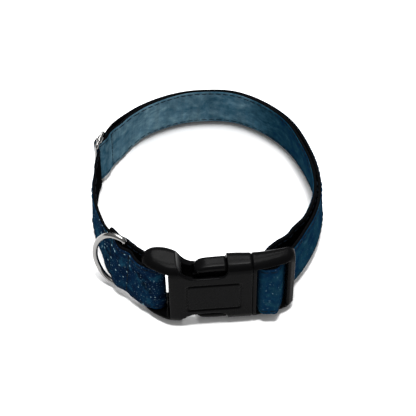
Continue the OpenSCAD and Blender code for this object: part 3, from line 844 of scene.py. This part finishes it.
        # The inner layer nears the outer one on its way to the back, and makes room there for the cut end
        gaps = [(-51, 4.9), (-42, 3.6), (-31, 2.3), (-14, 1.8), (5, 1.2), (40, 0.8), (90, 0.5), (112, 0.5),
                (mid - 27, 0.5), (mid - 19, thick + 0.4)]
        inner = self.stretch(-48, before, lambda t: self.weave_off(t) - thick - keyed(gaps, t))
        cut = self.stretch(before, before - 8, lambda t: self.weave_off(t) - thick - self.layer_gap)
        weave, turned = self.slider_wraps()
        parts = [*self.socket_end(), left, weave, back + reach, plug, inward, inner, turned, cut]
        total = [sum(len(part) for part in parts[:k]) for k in range(len(parts) + 1)]
        self.points = [p for part in parts for p in part]
        self.inner_from = total[6]
        # Each run ends some points into the part that starts at one of these totals
        side = math.floor((mid - self.bar_span + 4) / self.stride)
        ends = [0, total[2] + 52, total[3] + 7, total[3] + 13, total[4] + 8, total[4] + side, total[5] + 2,
                total[6] + 5, total[7] + 29, total[8] - 2, total[10] - 1]
        self.marks = {run: (ends[k], ends[k + 1]) for k, run in enumerate(Run)}
        self.lengths = [0.0]
        for a, b in zip(self.points, self.points[1:]):
            self.lengths.append(self.lengths[-1] + abs(b - a))

    def socket_end(self) -> tuple[list[complex], list[complex]]:
        """The doubled end beside the ring.

        Returns:
            The way from the cut tail to the socket's end bar and round it, and the way out from it.
        """
        loop, hard = self.loop, self.hard
        half, wrap = hard.end_bar_half, hard.end_bar_r + self.wrap_gap + self.strap_t / 2
        bar_x, bar_y = polar(1, 180 - hard.end_bend), polar(1, 270 - hard.end_bend)

        def at_end(u: float, v: float) -> complex:
            """Point u along the end bar's slant and v out of the loop from its middle."""
            return hard.end_bar + u * bar_x + v * bar_y

        def tail_off(t: float) -> float:
            """How far inside the loop the doubled end lies at turn t."""
            if t < hard.ring_turn:
                return self.stack + self.swell(t)
            return mix(self.stack + self.ring_off, wrap * 0.8, ease((t - hard.ring_turn) / 7))

        tail = [loop.off(t, -tail_off(t)) for t in range(self.tail_turn, 226)]
        tail += curve([loop.off(226, -tail_off(226)), at_end(half + 1.2, -wrap),
                       at_end(-half * 0.4, -wrap)], 4)
        tail += [at_end(-half + wrap * math.cos(a), wrap * math.sin(a))
                 for a in [math.radians(-90 - 15 * k) for k in range(13)]]
        away = curve([at_end(-half * 0.2, wrap), at_end(half, wrap), at_end(half + 2.6, wrap * 0.8),
                      loop.off(227.5, self.stack + 0.25)], 4)
        return tail, away

    def slider_wraps(self) -> tuple[list[complex], list[complex]]:
        """The strap's two ways round the slider's bars.

        Returns:
            The weave, inside its side bars and outside its middle one, and the loop round the middle one.
        """
        pitch, (r1, r2, r3) = self.hard.bar_pitch, self.bar_r
        middle = self.loop.off(self.hard.slider_turn, SLIDER_OFF)
        ahead = self.loop.heading(self.hard.slider_turn)
        weave_a = math.degrees(math.asin((r1 + r2) / pitch))
        leg_a = math.degrees(math.asin((r3 - r1) / pitch))
        weave = (arc(-pitch, r1, -92, -90 + weave_a, 5) + arc(0, r2, 90 + weave_a, 90 - weave_a, 8)
                 + arc(pitch, r1, -90 - weave_a, -88, 5))
        turned = (arc(pitch, r3, -90, -90 - leg_a, 3) + arc(0, r1, -90 - leg_a, -270 - weave_a, 14)
                  + arc(pitch, r2, -90 - weave_a, -90, 5))
        return [middle + p * ahead for p in weave], [middle + p * ahead for p in turned]

    def plug_wrap(self, last: complex) -> tuple[list[complex], list[complex], list[complex]]:
        """The wrap round the plug's two bars.

        Args:
            last: Last point of the outer layer before it.

        Returns:
            The way to the outer bar, the way round both bars, and the way into the inner layer.
        """
        hard, thick = self.hard, self.strap_t
        seam = complex(hard.seam_x, hard.buckle_y)
        outer_r = hard.outer_bar_r + self.wrap_gap + thick / 2
        turn_r = hard.turn_bar_r + self.wrap_gap + thick / 2
        near = hard.turn_bar + hard.turn_half
        lie = math.degrees(cmath.phase(hard.outer_bar - near))
        cross = math.degrees(math.asin((outer_r + turn_r) / abs(hard.outer_bar - near)))
        # The strap comes onto the outer bar at this angle
        meet = 128
        target = seam + hard.outer_bar + polar(outer_r, meet)
        plug = arc(hard.outer_bar, outer_r, meet, 90 + lie + cross, 3)
        plug += arc(near, turn_r, lie + cross - 90, -90, 5)
        plug += arc(hard.turn_bar - hard.turn_half, turn_r, -90, -196, 8)
        inward = curve([seam + hard.turn_bar + complex(-hard.turn_half - turn_r + 0.9, 2.4),
                        seam + hard.turn_bar + (-1 + 5.4j), seam + hard.turn_bar + (1.5 + 8.8j),
                        self.loop.off(-51, -6.4)], 4)
        return [mix(last, target, k / 4) for k in (1, 2, 3)], [seam + p for p in plug], inward

    def at(self, u: float) -> complex:
        """Point of the route, on a smooth curve through its own points.

        Args:
            u: Place on the route, where whole numbers are its own points.

        Returns:
            The point, in the plan.
        """
        last = len(self.points) - 1
        i = min(last - 1, max(0, int(u)))
        p = [self.points[min(last, max(0, k))] for k in (i - 1, i, i + 1, i + 2)]
        # A centripetal curve keeps close to the points where their spacing changes
        step = [max(1e-4, math.sqrt(abs(b - a))) for a, b in zip(p, p[1:])]
        knots = [0, step[0], step[0] + step[1], sum(step)]
        t = mix(knots[1], knots[2], u - i)
        a = [mix(p[k], p[k + 1], (t - knots[k]) / (knots[k + 1] - knots[k])) for k in range(3)]
        b = [mix(a[k], a[k + 1], (t - knots[k]) / (knots[k + 2] - knots[k])) for k in range(2)]
        return mix(b[0], b[1], (t - knots[1]) / (knots[2] - knots[1]))

    def place(self, along: float) -> float:
        """Place on the route that lies a length along it."""
        i = min(len(self.lengths) - 2, max(0, bisect.bisect_right(self.lengths, along) - 1))
        return i + (along - self.lengths[i]) / max(1e-6, self.lengths[i + 1] - self.lengths[i])

    def station(self, u: float) -> Station:
        """The strap's lie at one place.

        Args:
            u: Place on the route.

        Returns:
            How the strap stands there.
        """
        last = len(self.points) - 1
        here = self.at(u)
        ahead = self.at(min(last, u + 0.02)) - self.at(max(0, u - 0.02))
        t = self.loop.turn(here)
        lean = keyed(self.lean_table, t)
        # The buckle's tilt lowers what lies behind its middle
        held = self.at_end_loop(t) + self.at_plug(t)
        drop = held * (here.imag - self.hard.buckle_y) * math.sin(self.tilt)
        low = keyed(self.lift_table, t) - drop
        if u >= self.inner_from:
            low += keyed(self.step_table, t)
        i = min(last - 1, int(u))
        return Station(at=here, side=unit(ahead) * 1j, out=self.lean_out(t), lean=lean, low=low,
                       rise=math.cos(math.asin(2 * lean / self.web_w)),
                       along=mix(self.lengths[i], self.lengths[i + 1], u - i), turn=t)

    def places(self, run: Run) -> list[float]:
        """Places along one run, close enough together to look round.

        Args:
            run: The run.

        Returns:
            Its places, from its first point to its last.
        """
        first, end = self.marks[run]
        made = []
        for i in range(first, end):
            n = max(1, math.ceil((self.lengths[i + 1] - self.lengths[i]) / self.spacing))
            made += [i + k / n for k in range(n)]
        return made + [float(end)]


@dataclass
class Drape:
    """How worn webbing lies: fuller at the back right, and flat and close where it threads the slider.

    Attributes:
        fullness: How far out the strap lies, by turn.
        closing: How much further out the inner layer lies, by turn, so that it closes on the outer one.
        inner_off: How far inside the loop's line the inner layer starts.
        upright: Share of the strap's lean that is left, by turn.
        press: Share of the layers' depth at the slider that is left once pressed towards press_out.
        gather: Share of the slider's length that is left.
        flat: How far the press reaches along the strap, before it fades over a soft length.
    """

    loop: NeckLoop
    hard: Hardware
    fullness: Table = ((-62, 0.0), (-44, -0.3), (-24, 0.0), (-4, 0.2), (12, 0.5), (40, 1.6), (66, 1.7),
                       (90, 0.3), (118, 0.0), (156, 0.0), (165, -1.8), (173, -1.8), (184, -0.3), (194, 0.0))
    closing: Table = ((-66, 0.0), (-55, 0.2), (-42, 0.3), (-28, 1.0), (-10, 1.1), (5, 0.6), (25, 0.0))
    inner_off: float = 1.2
    upright: Table = ((-62, 1.0), (-46, 0.45), (-20, 0.45), (10, 1.0), (172, 1.0), (190, 0.35), (203, 0.35),
                      (213, 1.0))
    press: float = 0.46
    press_out: float = 1.5
    gather: float = 0.66
    flat: float = 8.0
    soft: float = 18.0

    def settle(self, p: complex, layer: complex) -> complex:
        """Moves a point of the loop's plan to where the worn strap carries it.

        Args:
            p: The point.
            layer: Middle of the webbing's layer that the point belongs to, which moves as one.

        Returns:
            The point's new place in the plan.
        """
        t = self.loop.turn(layer)
        within = ease(-self.inner_off - ((layer - self.loop.point(t)) * self.loop.out(t).conjugate()).real)
        t = self.loop.turn(p)
        p += self.loop.out(t) * (keyed(self.fullness, t) + within * keyed(self.closing, t))
        middle = self.loop.off(self.hard.slider_turn, SLIDER_OFF)
        ahead = self.loop.heading(self.hard.slider_turn)
        part = (p - middle) * ahead.conjugate()
        # What is far from the slider keeps its place
        if abs(part) > self.flat + self.soft + 8:
            return p
        # Drawn together along the strap, then pressed across it towards its outer face
        near = ease((self.flat + self.soft - abs(part.real)) / self.soft)
        part = complex(part.real * (1 - (1 - self.gather) * near),
                       self.press_out + (part.imag - self.press_out) * (1 - (1 - self.press) * near))
        return middle + part * ahead


@dataclass
class Strap:
    """Webbing, ribbon and stitching of every run, dressed, each joined to its body where one body holds both
    ends.

    Attributes:
        origin: The frame's origin in the loop's plan.
        ribbon_sink: How far the ribbon's back clears the webbing's face, so that they never share a plane.
        ripple: Height of the cloth's unevenness, whose sizes are ripple_mm.
        window: Half the length of the plug's window, and its reach behind the bar.
        window_bulge: How far the webbing's lower edge bellies forward in the window, from belly_from on.
        window_fill: How far it fills the room beside the bar, from fill_from on.
        cut_row: Points from the cut end to the row that holds it.
    """

    route: StrapRoute
    drape: Drape
    finishes: Finishes
    origin: complex
    ribbon_edge: float = 0.6
    ribbon_sink: float = 0.03
    ripple: float = 0.22
    ripple_mm: Triple = (17.0, 30.0, 23.0)
    window: tuple[float, float] = (6.4, 3.6)
    window_bulge: float = 2.0
    belly_from: float = 1.0
    belly_soft: float = 3.4
    window_fill: float = 1.7
    fill_from: float = 0.4
    fill_soft: float = 2.2
    thread_r: float = 0.17
    stitch: float = 3.2
    seam_in: float = 2.0
    across_count: int = 8
    cut_row: float = 1.4

    # How washed out the print is, with painted sheen where the strap faces the lights, at shares along each
    # run
    WASH_AND_SHEEN = ((Run.LEFT, 0.0, 0.02), (Run.LEFT, 0.5, 0.03), (Run.LEFT, 1.0, 0.15), (Run.BACK_OUTER, 0.1, 0.3),
              (Run.BACK_OUTER, 0.9, 0.3), (Run.RIGHT_OUTER, 0.6, 0.24), (Run.PLUG_WRAP, 0.5, 0.21),
              (Run.RIGHT_INNER, 0.5, 0.2), (Run.BACK_INNER, 0.08, 0.28), (Run.BACK_INNER, 0.3, 0.31),
              (Run.BACK_INNER, 0.5, 0.75), (Run.BACK_INNER, 0.82, 0.92), (Run.SLIDER_LOOP, 0.3, 0.72))
    # Shares of a run at which join reads the strap's lie, and where its rows of stitches lie on the route
    BENDS = {Run.BACK_INNER: (0.72, 0.97)}
    BEND = (0.06, 0.94)
    ROWS = {Run.LEFT: (3.5, 15.6, 53.2, 66.0)}
    # Shares of a stitch's length, with the height of the thread's middle there in radii of the thread
    LONG_STITCH = ((0.1, -1.0), (0.22, 0.3), (0.5, 0.55), (0.78, 0.3), (0.9, -1.0))
    CROSS_STITCH = ((0.06, -1.0), (0.2, 0.5), (0.5, 0.8), (0.8, 0.5), (0.94, -1.0))

    def __post_init__(self) -> None:
        """Puts the print's washes and painted sheen in order along the strap."""
        lengths = self.route.lengths
        self.wash_and_sheen = []
        for run, share, value in self.WASH_AND_SHEEN:
            first, end = self.route.marks[run]
            self.wash_and_sheen.append((mix(lengths[first], lengths[end], share), value))

    def lie(self, here: Station, across: float, depth: float) -> Vector:
        """Point on the strap, in metres.

        Args:
            here: Station on the route.
            across: Distance up from the webbing's lower edge.
            depth: Distance from the strap's middle towards its ribbon side.

        Returns:
            The point in the frame.
        """
        share = across / self.route.web_w
        lean = here.lean * keyed(self.drape.upright, here.turn)
        flat = here.at + here.out * lean * (1 - 2 * share) + here.side * depth
        height = here.low + across * here.rise
        level, tall, slow = self.ripple_mm
        # The second noise is read far from the first, so that the two don't match
        rough = noise.noise(Vector((flat.real / level, flat.imag / level, height / tall)))
        flat += here.out * rough * self.ripple
        height += noise.noise(Vector((flat.real / slow, flat.imag / slow, 7.7))) * self.ripple
        # In the plug's window the webbing bellies forward at its lower edge and fills the room beside the bar
        hard = self.route.hard
        from_bar = here.at - complex(hard.seam_x, hard.buckle_y) - hard.turn_bar
        wide, deep = self.window
        if abs(from_bar.real) < wide and from_bar.imag < deep:
            grown = ease((self.belly_from - from_bar.imag) / self.belly_soft)
            belly = self.window_bulge * grown * (1 - share) ** 2
            fill = (ease((from_bar.real - self.fill_from) / self.fill_soft)
                    * ease((wide - from_bar.real) / self.fill_soft) * ease(3 * (1 - share)))
            flat -= 1j * math.hypot(belly, self.window_fill * fill)
        flat = self.drape.settle(flat, here.at) - self.origin
        return Vector((flat.real, flat.imag, max(height, 0.0))) * MM

    def cross_section(self, here: Station, low: float, high: float, d0: float,
                      d1: float) -> tuple[list[Vector], list[Triple]]:
        """Cross-section of a strip with softly rounded edges.

        Args:
            here: Station on the route.
            low: Lower edge across the strap.
            high: Upper edge across the strap.
            d0: Depth of the strip's back.
            d1: Depth of its face.

        Returns:
            Points in metres, and their places on the cloth.
        """
        r = (d1 - d0) / 2
        n = 12
        turns = (math.pi / 4, math.pi / 2, 3 * math.pi / 4)
        rows = [(mix(low + r, high - r, k / n), d1) for k in range(n + 1)]
        rows += [(high - r + r * math.sin(a), d0 + r + r * math.cos(a)) for a in turns]
        rows += [(mix(high - r, low + r, k / n), d0) for k in range(n + 1)]
        rows += [(low + r - r * math.sin(a), d0 + r - r * math.cos(a)) for a in turns]
        # The print's fading and the painted sheen at this station
        wash = keyed(self.wash_and_sheen, here.along)
        return [self.lie(here, w, d) for w, d in rows], [(here.along, w, wash) for w, d in rows]

    def strip(self, name: str, run: Run, inset: float, d0: float, d1: float, material: Material) -> Object:
        """Strip along one run, closed where the strap itself is cut.

        Args:
            name: Object's name.
            run: Run of the route.
            inset: Distance of its edges inside the webbing's.
            d0: Depth of its back.
            d1: Depth of its face.
            material: Its material.

        Returns:
            The new object.
        """
        stations = [self.route.station(u) for u in self.route.places(run)]
        points, cloth = [], []
        for here in stations:
            made, places = self.cross_section(here, inset, self.route.web_w - inset, d0, d1)
            points += made
            cloth += places
        m = len(made)
        # Turned over, because this section runs the other way round
        faces = [(a, d, c, b) for a, b, c, d in side_faces(len(stations), m)]
        if run is Run.LEFT:
            faces.append(tuple(range(m)))
        if run is Run.SLIDER_LOOP:
            faces.append(tuple(reversed(range(len(points) - m, len(points)))))
        return new_mesh(name, points, faces, material, cloth)

    def seams(self, run: Run) -> list[list[Triple]]:
        """Stitches of the two long seams on both faces of one run.

        Args:
            run: Run of the route.

        Returns:
            For each stitch, its points as places on the route, across and in depth.
        """
        first, end = (self.route.lengths[k] for k in self.route.marks[run])
        made = []
        k = math.ceil(first / self.stitch)
        while (k + 1) * self.stitch <= end:
            places = [(self.route.place((k + s) * self.stitch), self.route.strap_t / 2 + self.thread_r * rise)
                      for s, rise in self.LONG_STITCH]
            for across in (self.seam_in, self.route.web_w - self.seam_in):
                made += [[(u, across, face.value * depth) for u, depth in places] for face in Face]
            k += 1
        return made

    def row(self, u: float) -> list[list[Triple]]:
        """Stitches of one row across the ribbon.

        Args:
            u: Place of the row on the route.

        Returns:
            For each stitch, its points as places on the route, across and in depth.
        """
        pitch = (self.route.web_w - 2 * self.seam_in) / self.across_count
        return [[(u, self.seam_in + (k + s) * pitch, self.route.strap_t / 2 + self.thread_r * rise)
                 for s, rise in self.CROSS_STITCH] for k in range(self.across_count)]

    def sew(self, run: Run, stitches: list[list[Triple]]) -> None:
        """Makes one run's stitches as one piece.

        Args:
            run: Run that the stitches lie on.
            stitches: Points of each stitch, as seams and row give them.
        """
        points, faces = [], []
        for stitch in stitches:
            path, ups = [], []
            for u, across, depth in stitch:
                here = self.route.station(u)
                path.append(self.lie(here, across, depth))
                ups.append(self.lie(here, across, depth + math.copysign(1, depth)) - path[-1])
            made, sides = sweep(path, ups, self.thread_r * MM, 6, False, len(points))
            points += made
            faces += sides
        piece = new_mesh("stitches_" + run.label, points, faces, self.finishes.thread)
        self.join(piece, run)

    def join(self, piece: Object, run: Run) -> None:
        """Makes a piece of one run follow its body, or bakes its place where two bodies carry its ends.

        Args:
            piece: The piece.
            run: Its run.
        """
        _, start_body, end_body = run.value
        if start_body is end_body:
            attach(piece, start_body.value)
            return
        first, end = self.route.marks[run]
        for share in self.BENDS.get(run, self.BEND):
            here = self.route.station(mix(first, end, share))
            tuple(self.lie(here, self.route.web_w / 2, 0))
        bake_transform(piece)

    def build(self) -> None:
        """Makes the webbing, the ribbon and the stitches of every run."""
        thick = self.route.strap_t
        face = thick / 2 - self.route.ribbon_t
        marks = self.route.marks
        # Rows across hold the doubled end beside the leash ring, and the loop's cut end beside the slider
        rows = self.ROWS | {Run.BACK_INNER: (marks[Run.BACK_INNER][1] - self.cut_row,)}
        for run in Run:
            web = self.strip("webbing_" + run.label, run, 0.0, -thick / 2, face, self.finishes.webbing)
            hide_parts("strap_" + run.label)
            satin = self.strip("satin_" + run.label, run, self.ribbon_edge, face + self.ribbon_sink,
                               thick / 2, self.finishes.ribbon)
            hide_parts("ribbon_" + run.label)
            for piece in (web, satin):
                self.join(piece, run)
            self.sew(run, self.seams(run) + [s for u in rows.get(run, ()) for s in self.row(u)])
        LOG.info("strap: %d runs, %.0f mm long", len(marks), self.route.lengths[-1])


# ---------------------------------------------------------------- moulded and metal pieces
@dataclass
class Mouldings:
    """The buckle's moulded pieces: the frame's own solids, smoothed between their edges and eased at them.

    Edges are real where faces meet at more than sharp degrees. Broad smoothing keeps off them, and grows over
    a reach from there.
    """

    finishes: Finishes
    voxel: float = 0.26
    weld: float = 0.002
    sharp: float = 34.0
    edge_step: float = 0.4
    broad_passes: int = 36
    edge_passes: int = 3
    keep: float = 0.3
    reach: float = 1.3

    PIECES = {"buckle_socket": Body.COLLAR, "plug_frame": Body.PLUG, "latch_arm_upper": Body.UPPER_ARM,
              "latch_arm_lower": Body.LOWER_ARM}

    def edges(self, mesh: Mesh) -> kdtree.KDTree:
        """Points along a mesh's real edges.

        Args:
            mesh: The solid's mesh.

        Returns:
            A tree of those points, to find the nearest.
        """
        shape = bmesh.new()
        shape.from_mesh(mesh)
        bmesh.ops.remove_doubles(shape, verts=shape.verts, dist=self.weld * MM)
        found = []
        for edge in shape.edges:
            if edge.calc_face_angle(0) > math.radians(self.sharp):
                a, b = (v.co.copy() for v in edge.verts)
                n = max(1, math.ceil((b - a).length / (self.edge_step * MM)))
                found += [a.lerp(b, k / n) for k in range(n + 1)]
        shape.free()
        tree = kdtree.KDTree(len(found))
        for k, p in enumerate(found):
            tree.insert(p, k)
        tree.balance()
        return tree

    def eased(self, node: str) -> Object:
        """Copy of a node's solid whose broad faces are smooth and whose edges are softly rounded.

        Args:
            node: Name of the frame's node.

        Returns:
            The new object.
        """
        source = frame["nodes"][node].data
        made = add_object("moulded_" + node, source.copy())
        remesh = made.modifiers.new("even", "REMESH")
        remesh.mode = "VOXEL"
        remesh.voxel_size = self.voxel * MM
        self.apply(made)
        near = self.edges(source)
        group = made.vertex_groups.new(name="broad")
        for v in made.data.vertices:
            away = near.find(v.co)[2] / MM
            group.add([v.index], ease((away - self.keep) / self.reach), "REPLACE")
        for passes, name in ((self.broad_passes, "broad"), (self.edge_passes, "")):
            soften = made.modifiers.new("soften", "SMOOTH")
            soften.factor = 0.5
            soften.iterations = passes
            soften.vertex_group = name
        self.apply(made)
        made.vertex_groups.clear()
        made.data.polygons.foreach_set("use_smooth", [True] * len(made.data.polygons))
        made.data.materials.clear()
        made.data.materials.append(self.finishes.plastic)
        return made

    def apply(self, piece: Object) -> None:
        """Applies a piece's modifiers to its mesh.

        Args:
            piece: The piece.
        """
        graph = bpy.context.evaluated_depsgraph_get()
        done = bpy.data.meshes.new_from_object(piece.evaluated_get(graph))
        piece.modifiers.clear()
        piece.data = done

    def build(self) -> None:
        """Makes and places every moulded piece."""
        for node, body in self.PIECES.items():
            piece = self.eased(node)
            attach(piece, body.value)
            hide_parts(node)
            LOG.info("%s: %d faces", piece.name, len(piece.data.polygons))


@dataclass
class Wirework:
    """The leash ring and the slider, bent from plated wire.

    A curl of the slider's middle bar is thicker than the wire by curl_swell. It sits inside the outer wire's
    middle by curl_in, which keeps the lower one off the floor. ring_soft is the radius of the ring's bends
    beside its bar.
    """

    route: StrapRoute
    drape: Drape
    finishes: Finishes
    origin: complex
    slider_r: float = 0.66
    slider_corner: float = 1.2
    curl_half: float = 1.5
    curl_in: float = 0.2
    curl_swell: float = 0.5
    end_round: float = 0.35
    ring_gap: float = 0.5
    ring_depth: float = 12.6
    ring_corner: float = 8.0
    ring_leg: float = 2.5
    ring_soft: float = 1.4
    sides: int = 20

    def tube(self, name: str, path: list[Vector], r: float, closed: bool) -> Object:
        """Round wire along a path.

        Args:
            name: Object's name.
            path: Points of its middle, in metres.
            r: Its radius in metres.
            closed: Whether its ends meet.

        Returns:
            The new object.
        """
        # The section starts in a direction that no wire sets out in, and is carried on from point to point
        lean = Vector((0.31, 0.17, 0.93))
        ups = []
        for i, p in enumerate(path):
            along = (path[(i + 1) % len(path)] - p) if closed or i < len(path) - 1 else p - path[i - 1]
            up = ups[-1] if ups else lean
            ups.append(up - along * (up.dot(along) / along.length_squared))
        points, faces = sweep(path, ups, r, self.sides, closed)
        return new_mesh(name, points, faces, self.finishes.metal)

    def stood(self, flat: list[complex], at: complex, along: complex, out: complex, tilt: float,
              z: float) -> list[Vector]:
        """Stands a flat bent shape up and tips its top away from a direction.

        Args:
            flat: Points of the shape, as distance along a direction and height.
            at: Middle of the shape in the loop's plan.
            along: That direction.
            out: Direction from which the top tips away.
            tilt: Angle of the tip, in radians.
            z: Height of the middle.

        Returns:
            Points in the frame, in metres.
        """
        made = []
        for p in flat:
            level, height = p.real * along, p.imag
            part = (level * out.conjugate()).real
            level += out * (part * (math.cos(tilt) - 1) - height * math.sin(tilt)) + at - self.origin
            height = part * math.sin(tilt) + height * math.cos(tilt)
            made.append(Vector((level.real, level.imag, z + height)) * MM)
        return made

    def build(self) -> None:
        """Makes the ring and the slider."""
        self.ring()
        self.slider()

    def ring(self) -> None:
        """Bends the leash ring round its bar."""
        hard, route = self.route.hard, self.route
        half = route.web_w / 2 + self.ring_gap + hard.ring_wire / 2
        rc, depth, leg, soft = self.ring_corner, self.ring_depth, self.ring_leg, self.ring_soft
        # The outer side is a flat arc that runs on smoothly from the two corners
        cz = half - rc
        back = (leg * leg + cz * cz - (depth - rc) ** 2) / (2 * (depth - rc - leg))
        far = depth + back
        turn = math.degrees(math.atan2(cz, leg + back))
        path = [complex(0, mix(half - soft, soft - half, k / 14)) for k in range(15)]
        path += arc(complex(soft, soft - half), soft, 180, 270, 6)[1:]
        path += arc(complex(leg, -cz), rc, -90, -turn, 14)
        path += arc(complex(-back, 0), far, -turn, turn, 24)[1:-1]
        path += arc(complex(leg, cz), rc, turn, 90, 14)
        path += arc(complex(soft, half - soft), soft, 90, 180, 6)[:-1]
        lean = math.asin(2 * keyed(route.lean_table, hard.ring_turn) / route.web_w)
        z = keyed(route.lift_table, hard.ring_turn) + route.web_w / 2 * math.cos(lean)
        points = self.stood(path, route.loop.point(hard.ring_turn), polar(1, hard.ring_angle),
                            route.lean_out(hard.ring_turn), lean, z)
        made = self.tube("leash_ring_wire", points, hard.ring_wire / 2 * MM, True)
        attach(made, Body.RING.value)
        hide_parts("d_ring")

    def slider(self) -> None:
        """Bends the slider's outer wire and curls its middle bar's ends round it."""
        hard, route = self.route.hard, self.route
        half, pitch, soft = route.slider_half, hard.bar_pitch * self.drape.gather, self.slider_corner
        ahead = route.loop.heading(hard.slider_turn)
        seat = route.loop.off(hard.slider_turn, SLIDER_OFF)
        seat = self.drape.settle(seat, seat)
        path = []
        for x, y, a in [(pitch, half, 0), (-pitch, half, 90), (-pitch, -half, 180), (pitch, -half, 270)]:
            middle = complex(x - math.copysign(soft, x), y - math.copysign(soft, y))
            path += arc(middle, soft, a, a + 90, 6)
        shapes = [("slider_outer_wire", path, self.slider_r, True),
                  ("slider_middle_bar", [complex(0, mix(-half, half, k / 8)) for k in range(9)],
                   self.slider_r, False)]
        curl, high = self.curl_half, half - self.curl_in
        for name, y in (("slider_curl_upper", high), ("slider_curl_lower", -high)):
            shapes.append((name, [complex(mix(-curl, curl, k / 4), y) for k in range(5)],
                           self.slider_r + self.curl_swell, False))
        for name, flat, r, closed in shapes:
            points = self.stood(flat, seat, ahead, ahead * 1j, route.slider_tilt, route.slider_mid)
            made = self.tube(name, points, r * MM, closed)
            if not closed:
                ease_ends = made.modifiers.new("ease", "BEVEL")
                ease_ends.width = self.end_round * MM
                ease_ends.segments = 3
                ease_ends.limit_method = "ANGLE"
                ease_ends.angle_limit = math.radians(60)
            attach(made, Body.SLIDER.value)
            if closed:
                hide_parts("slider_frame")


# ---------------------------------------------------------------- studio
@dataclass
class Studio:
    """Pale floor, soft lights and the camera in front of the collar, looking down.

    The camera faces aim, in the loop's plan, from a distance and at angles in degrees. The floor's half is in
    metres.
    """

    # Square lights that face the collar: name, place and side in metres, and power in watts
    LIGHTS = (("overhead", (0.0, 0.17, 0.78), 0.46, 7.4), ("front_top", (0.0, -0.05, 0.8), 0.09, 4.6),
              ("behind", (0.0, 0.56, 0.56), 0.26, 2.7))

    origin: complex
    aim: Triple = (0.0, -8.0, 16.0)
    elevation: float = 54.0
    azimuth: float = -4.8
    distance: float = 454.0
    lens: float = 95.19
    sensor: float = 36.0
    floor_half: float = 1.5
    fibre_mm: float = 10 / 9

    def build(self) -> None:
        """Adds the floor, the lights, the world and the camera."""
        self.camera()
        self.floor()
        for name, place, size, watts in self.LIGHTS:
            self.light(name, place, size, watts)
        self.world()
        view = bpy.context.scene.view_settings
        view.view_transform = "Standard"
        view.look = "None"

    def floor(self) -> None:
        """Lays the uncoated paper that the collar stands on, whose fibres only just mottle its white."""
        size = self.floor_half
        paper, tree, shader = new_material("paper_sweep")
        place = add_node(tree, "TexCoord", out="Object")
        fibre = add_node(tree, "TexNoise", {
            "Vector": place, "Scale": 1 / (self.fibre_mm * MM), "Detail": 2.0})
        tone = add_node(tree, "MixRGB", {
            "Fac": fibre, "Color1": linear("F2F2F2"), "Color2": linear("F6F6F6")})
        feed(shader, {"Base Color": tone, "Roughness": 0.9, "Specular IOR Level": 0.1})
        corners = [(-size, -size, 0), (size, -size, 0), (size, size, 0), (-size, size, 0)]
        new_mesh("floor", corners, [(0, 1, 2, 3)], paper)

    def world(self) -> None:
        """Surrounds the studio with a soft white that is dimmer towards the horizon."""
        world = bpy.data.worlds.new("studio")
        bpy.context.scene.world = world
        world.use_nodes = True
        tree = world.node_tree
        up = add_node(tree, "SeparateXYZ", {0: add_node(tree, "TexCoord", out="Generated")}, out="Z")
        strength = add_node(tree, "MapRange", {
            "Value": up, "From Min": 0.0, "From Max": 0.9, "To Min": 0.15, "To Max": 0.62})
        feed(tree.nodes["Background"], {"Color": linear("FFFFFF"), "Strength": strength})

    def light(self, name: str, place: Triple, size: float, watts: float) -> None:
        """Adds a square soft light that faces the frame's origin.

        Args:
            name: Light's name.
            place: Its position in metres.
            size: Its side in metres.
            watts: Its power.
        """
        lamp = bpy.data.lights.new(name, "AREA")
        lamp.size = size
        lamp.energy = watts
        made = add_object(name, lamp)
        made.location = place
        made.rotation_euler = (-Vector(place)).to_track_quat("-Z", "Y").to_euler()

    def camera(self) -> None:
        """Adds the camera and makes it the scene's own."""
        lens = bpy.data.cameras.new("camera")
        lens.lens = self.lens
        lens.sensor_width = self.sensor
        lens.clip_start = 0.01
        made = add_object("camera", lens)
        x, y, z = self.aim
        aim = Vector((x - self.origin.real, y - self.origin.imag, z)) * MM
        e, a = math.radians(self.elevation), math.radians(self.azimuth)
        back = Vector((math.sin(a) * math.cos(e), -math.cos(a) * math.cos(e), math.sin(e)))
        made.location = aim + back * self.distance * MM
        made.rotation_euler = (-back).to_track_quat("-Z", "Y").to_euler()
        bpy.context.scene.camera = made


def main() -> None:
    """Builds the whole collar and its studio."""
    logging.basicConfig(level=logging.INFO, format="%(message)s")
    # The slider's joint turns about the middle of the loop, which ties the plan to the frame
    travel = next(j for j in frame["joints"] if j["name"] == "slider_travel")
    origin = complex(-travel["pos_m"][0], -travel["pos_m"][1]) / MM
    Studio(origin).build()
    finishes = Finishes()
    route = StrapRoute(NeckLoop(), Hardware())
    drape = Drape(route.loop, route.hard)
    Strap(route, drape, finishes, origin).build()
    Mouldings(finishes).build()
    Wirework(route, drape, finishes, origin).build()


if __name__ == "__main__":
    main()
